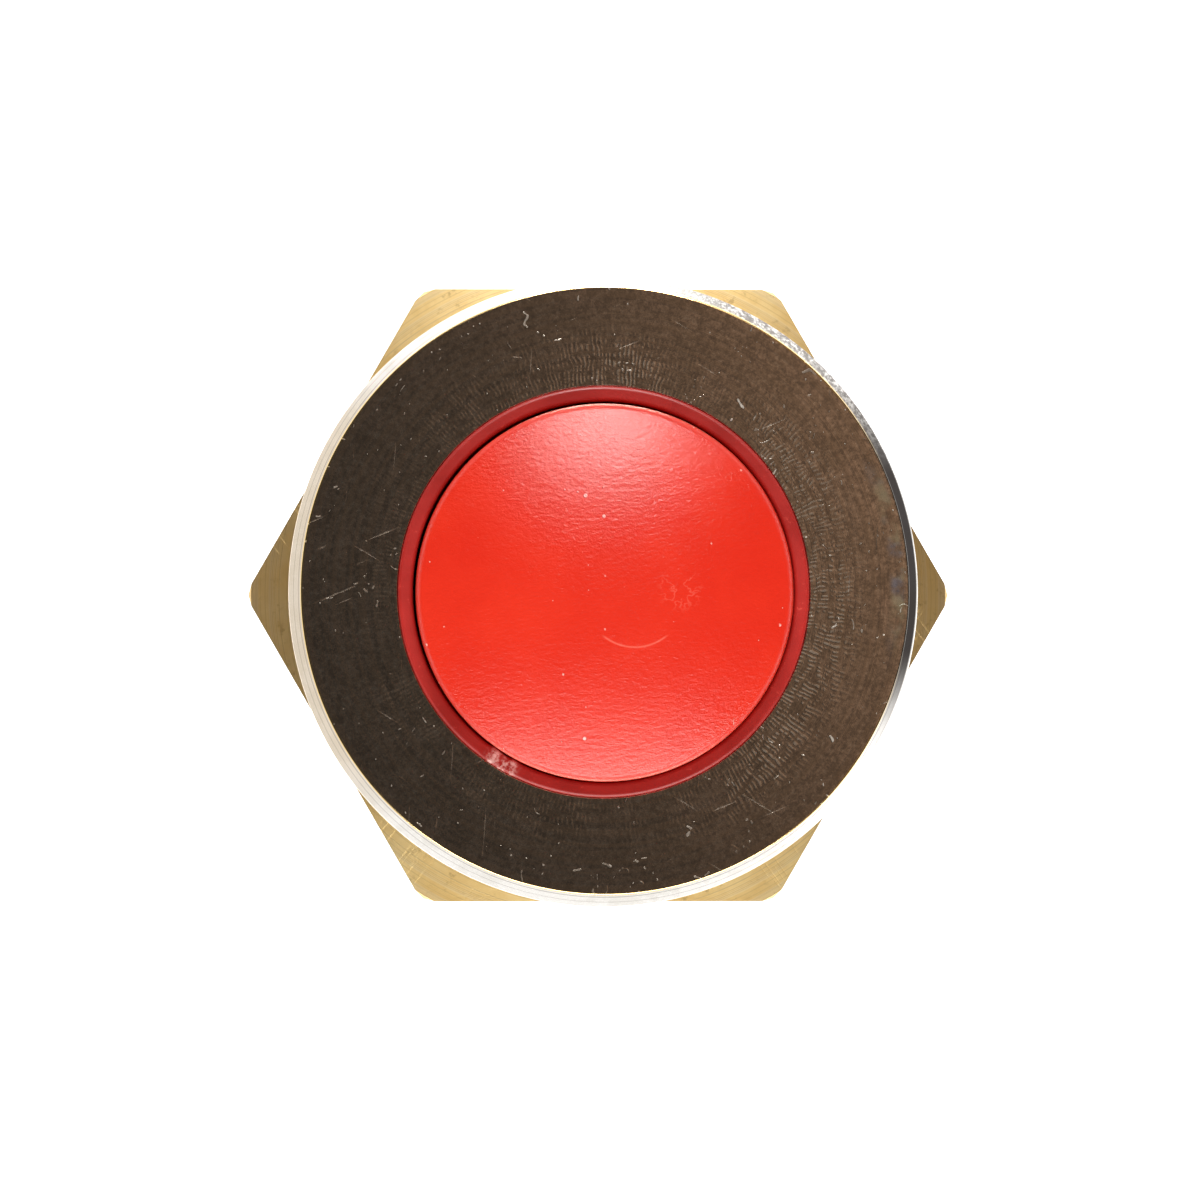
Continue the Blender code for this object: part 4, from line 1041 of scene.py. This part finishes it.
# darkest, lightest and stained colour
copper = (0.72, 0.34, 0.19), (0.90, 0.50, 0.32), (0.42, 0.20, 0.10)
tin = (0.40, 0.385, 0.36), (0.64, 0.625, 0.59), (0.34, 0.28, 0.19)
tipNodes = {"bridgeTipLeft": "bridge_tip_left", "bridgeTipRight": "bridge_tip_right",
            "fixedTipLeft": "fixed_tip_left", "fixedTipRight": "fixed_tip_right"}


def stripMetal(name, dark, light, stain, roughness):
    # rolled strip: streaks along it, with a few darker stains
    paint = Finish(name, 1.0)
    along = paint.place(paint.x * 3.0, paint.y * 14.0, paint.z * 1.2)
    rolled = paint.noise(1.0, 4.0, 0.6, along)
    cloud = paint.noise(0.7, 4.0, 0.6)
    metal = (rolled.step(0.3, 0.7) * 0.6 + cloud * 0.4).mix(dark, light)
    return paint.done((cloud.step(0.58, 0.72) * 0.45).mix(metal, stain),
                      roughness + rolled * 0.14 + cloud * 0.08, rolled + cloud * 0.6, contacts["bumps"])


def silver():
    # fine silver, with a little tarnish
    paint = Finish("contactSilver", 1.0)
    cloud = paint.noise(1.6, 4.0, 0.6)
    return paint.done(cloud.step(0.35, 0.7).mix(*contacts["silver"]), 0.20 + cloud * 0.22,
                      paint.noise(6.0, 3.0) + cloud, contacts["silverBumps"])


def tipPiece(name, side, face, up, body, material):
    # a rivet: a low domed head on the contact face, a shank through the strip and an upset end
    c = contacts
    way = 1 if up else -1
    head = face - way * c["headHeight"]
    far = head - way * (c["strip"] + 2 * joint)
    end = far - way * c["upsetHeight"]
    bm = bmesh.new()
    dome = [(0, face), (c["head"] * 0.5, face - way * 0.012),
            (c["head"] - 0.12, face - way * 0.05, 0.05), (c["head"], face - way * 0.16, 0.05),
            (c["head"], head, 0.04), (c["shank"], head, 0.04),
            (c["shank"], far, 0.04), (c["upset"], far, 0.05), (c["upset"] * 0.9, end, 0.08), (0, end)]
    turned(bm, softened(dome, closed=False), 64, closed=False, x=side * c["tip"])
    piece(bm, name, body, [tipNodes[name]], material)


def buildTips():
    material = silver()
    bridgeFace = corners("bridge_tip_left")[0].z
    fixedFace = corners("fixed_tip_left")[1].z
    for side, word in ((-1, "Left"), (1, "Right")):
        tipPiece("bridgeTip" + word, side, bridgeFace, False, "bridge", material)
        tipPiece("fixedTip" + word, side, fixedFace, True, "housing", material)


def buildBridge():
    # the plate is a flat outline with its holes bridged to it, given its thickness and rolled edges
    c = contacts
    low, high = corners("contact_bridge")
    bm = bmesh.new()
    long, half, cut = c["bridgeLong"], c["bridgeHalf"], c["bridgeCorner"]
    outline = []
    for sx, sy, start in ((1, 1, 0), (-1, 1, 90), (-1, -1, 180), (1, -1, 270)):
        for i in range(7):
            angle = radians(start + 15 * i)
            outline.append((sx * (long - cut) + cut * cos(angle), sy * (half - cut) + cut * sin(angle)))
    loops = [outline]
    for x, radius, steps in ((0, stem["tail"] + 0.08, 48), (-c["tip"], c["shank"] + joint, 32),
                             (c["tip"], c["shank"] + joint, 32)):
        turns = [2 * pi * i / steps for i in range(steps)]
        loops.append([(x + radius * cos(turn), radius * sin(turn)) for turn in turns])
    edges = []
    for loop in loops:
        verts = [bm.verts.new((x * mm, y * mm, high.z * mm)) for x, y in loop]
        edges += [bm.edges.new(pair) for pair in zip(verts, verts[1:] + verts[:1])]
    bmesh.ops.triangle_fill(bm, use_beauty=True, edges=edges)
    extruded(bm, (0, 0, low.z - high.z))
    rollEdges(bm, c["edge"], 2, 60)
    piece(bm, "contactBridge", "bridge", ["contact_bridge"],
          stripMetal("bridgeCopper", *copper, 0.24))


def buildStrips():
    # each strip is its side view, extruded, then cut to the tab's shape with its hole
    c = contacts
    tinned = stripMetal("tinnedBrass", *tin, 0.26)
    for side, word in ((-1, "left"), (1, "right")):
        low, high = corners("fixed_contact_" + word)
        baseLow = corners("terminal_base")[0].z - joint
        armTop = high.z
        armBottom = armTop - c["strip"]
        inner = c["tip"] - c["head"] + 0.15
        bend = c["bend"] + c["strip"] - (c["bladeOut"] - c["bladeThin"])
        outline = [(inner, armTop)]
        for i in range(9):
            angle = radians(90 - 90 * i / 8)
            outline.append((c["bladeThin"] - bend + bend * cos(angle),
                            armTop - bend + bend * sin(angle)))
        outline += [(c["bladeThin"], baseLow), (c["bladeOut"], baseLow - 0.1), (c["bladeOut"], low.z),
                    (c["bladeIn"], low.z)]
        for i in range(5):
            angle = radians(90 * i / 4)
            outline.append((c["bladeIn"] - c["bend"] + c["bend"] * cos(angle),
                            armBottom - c["bend"] + c["bend"] * sin(angle)))
        outline.append((inner, armBottom))
        bm = bmesh.new()
        verts = [bm.verts.new((side * x * mm, -c["tab"] / 2 * mm, z * mm)) for x, z in outline]
        bm.faces.new(verts)
        extruded(bm, (0, c["tab"], 0))
        for way in (-1, 1):
            slant = Vector((0, way, -1)).normalized()
            spot = Vector((0, way * c["tab"] / 2, low.z + c["tabPoint"])) * mm
            cut = bmesh.ops.bisect_plane(bm, geom=everything(bm), plane_co=spot, plane_no=slant,
                                         clear_outer=True)["geom_cut"]
            bmesh.ops.edgenet_fill(bm, edges=edgesIn(cut))
        strip = piece(bm, "fixedContact" + word.title(), "housing", ["fixed_contact_" + word],
                      tinned)
        holes = bmesh.new()
        drum(holes, c["tabHole"], 2, -2, steps=40)
        across = Matrix.Rotation(pi / 2, 3, "Y")
        bmesh.ops.rotate(holes, verts=holes.verts, cent=(0, 0, 0), matrix=across)
        bmesh.ops.translate(holes, verts=holes.verts,
                            vec=(side * c["bladeIn"] * mm, 0, (low.z + c["tabHoleUp"]) * mm))
        middle = armTop - c["strip"] / 2
        drum(holes, c["shank"] + joint, middle + 1, middle - 1, side * c["tip"], 40)
        cutAndRound(strip, holes, c["edge"])


buildTips()
buildBridge()
buildStrips()
print("contacts done")


# Housing and base: moulded black plastic; the base's recess is filled with resin

moulding = {"bore": 5.437, "slotHalf": 1.75, "stemRoom": 2.25, "roomBottom": -7.2, "neck": 5.887,
            "flange": 1.2, "potting": 5.087, "recess": 1.85, "pocket": 1.6, "pocketDepth": 1.2,
            "housingBlack": (0.022, 0.036), "baseBlack": (0.030, 0.048), "speck": (0.13, 0.13, 0.13),
            "plasticBumps": 0.008, "resin": ((0.030, 0.024, 0.020), (0.055, 0.042, 0.034)),
            "bubble": (0.14, 0.11, 0.09), "resinBumps": 0.010}


def blackPlastic(name, low, high):
    # glass-filled moulding: a faint flow pattern and a fine sparkle of roughness
    paint = Finish(name, 0.0, Specular_IOR_Level=0.5)
    flow = paint.noise(0.7, 5.0, 0.6, None, 0.8)
    speck = paint.noise(16.0, 2.0, 0.6)
    black = flow.step(0.35, 0.65).mix((low, low, low), (high, high, high * 1.02))
    black = (speck.step(0.66, 0.74) * 0.35).mix(black, moulding["speck"])
    return paint.done(black, 0.38 + flow * 0.16, speck + flow * 0.6, moulding["plasticBumps"])


def resin():
    # cast epoxy: glossy, smooth, a little brown, with tiny bubbles
    paint = Finish("pottingResin", 0.0, Coat_Roughness=0.05)
    cloud = paint.noise(0.6, 3.0)
    bubbles = paint.specks(1.9, 0.09, 2.0)
    brown = cloud.step(0.3, 0.7).mix(*moulding["resin"])
    paint.put("Coat Weight", cloud.step(0.2, 0.8) * 0.4 + 0.3)
    return paint.done((bubbles * 0.3).mix(brown, moulding["bubble"]), 0.16 + cloud * 0.10,
                      cloud * 2.0 - bubbles * 1.5, moulding["resinBumps"])


def buildHousing():
    m = moulding
    low, high = corners("contact_housing")
    bm = bmesh.new()
    turned(bm, [(0, m["roomBottom"]), (m["bore"], m["roomBottom"]), (m["bore"], high.z),
                (fitRadius, high.z), (fitRadius, low.z), (0, low.z)], 128, closed=False)
    body = piece(bm, "contactHousing", "housing", ["contact_housing"],
                 blackPlastic("housingBlack", *m["housingBlack"]))
    slot = bmesh.new()
    boxed(slot, (-m["bore"], -m["slotHalf"], low.z - 1),
          (m["bore"], m["slotHalf"], m["roomBottom"] + 0.5))
    cutAndRound(body, slot, 0.10)
    bore = bmesh.new()
    drum(bore, m["stemRoom"], m["roomBottom"] + 0.4, low.z - 1, 0.0, 64)
    cutAndRound(body, bore, 0.04, 1)


def buildBase():
    m = moulding
    c = contacts
    low, high = corners("terminal_base")
    flange = high.z - m["flange"]
    recess = low.z + m["recess"]
    bm = bmesh.new()
    turned(bm, [(0, high.z), (fitRadius, high.z), (fitRadius, flange), (m["neck"], flange),
                (m["neck"], low.z), (m["potting"], low.z), (m["potting"], recess), (0, recess)], 128,
           closed=False)
    body = piece(bm, "terminalBase", "housing", ["terminal_base"],
                 blackPlastic("baseBlack", *m["baseBlack"]))
    cutAndRound(body, bladeSlots(low, high), 0.08)
    tools = bmesh.new()
    drum(tools, m["pocket"], high.z + 1, high.z - m["pocketDepth"], 0.0, 48)
    for side in (-1, 1):
        drum(tools, c["upset"] + joint, high.z + 1, high.z - c["upsetHeight"] - joint,
             side * c["tip"], 32)
    cutAndRound(body, tools, 0.03, 1)


def buildResin():
    # the cast surface climbs a little where it wets the wall
    low, high = corners("potting_seal")
    bm = bmesh.new()
    outer = moulding["potting"] - joint
    sag = [(0, low.z + 0.10), (outer * 0.5, low.z + 0.095), (outer - 1.0, low.z + 0.09),
           (outer - 0.5, low.z + 0.07), (outer - 0.2, low.z + 0.035), (outer - 0.05, low.z)]
    turned(bm, [(0, high.z), (outer, high.z), (outer, low.z)] + sag[::-1], 128, closed=False)
    body = piece(bm, "pottingSeal", "housing", ["potting_seal"], resin())
    cutAndRound(body, bladeSlots(low, high), 0.02, 1)


buildHousing()
buildBase()
buildResin()
print("mouldings done")
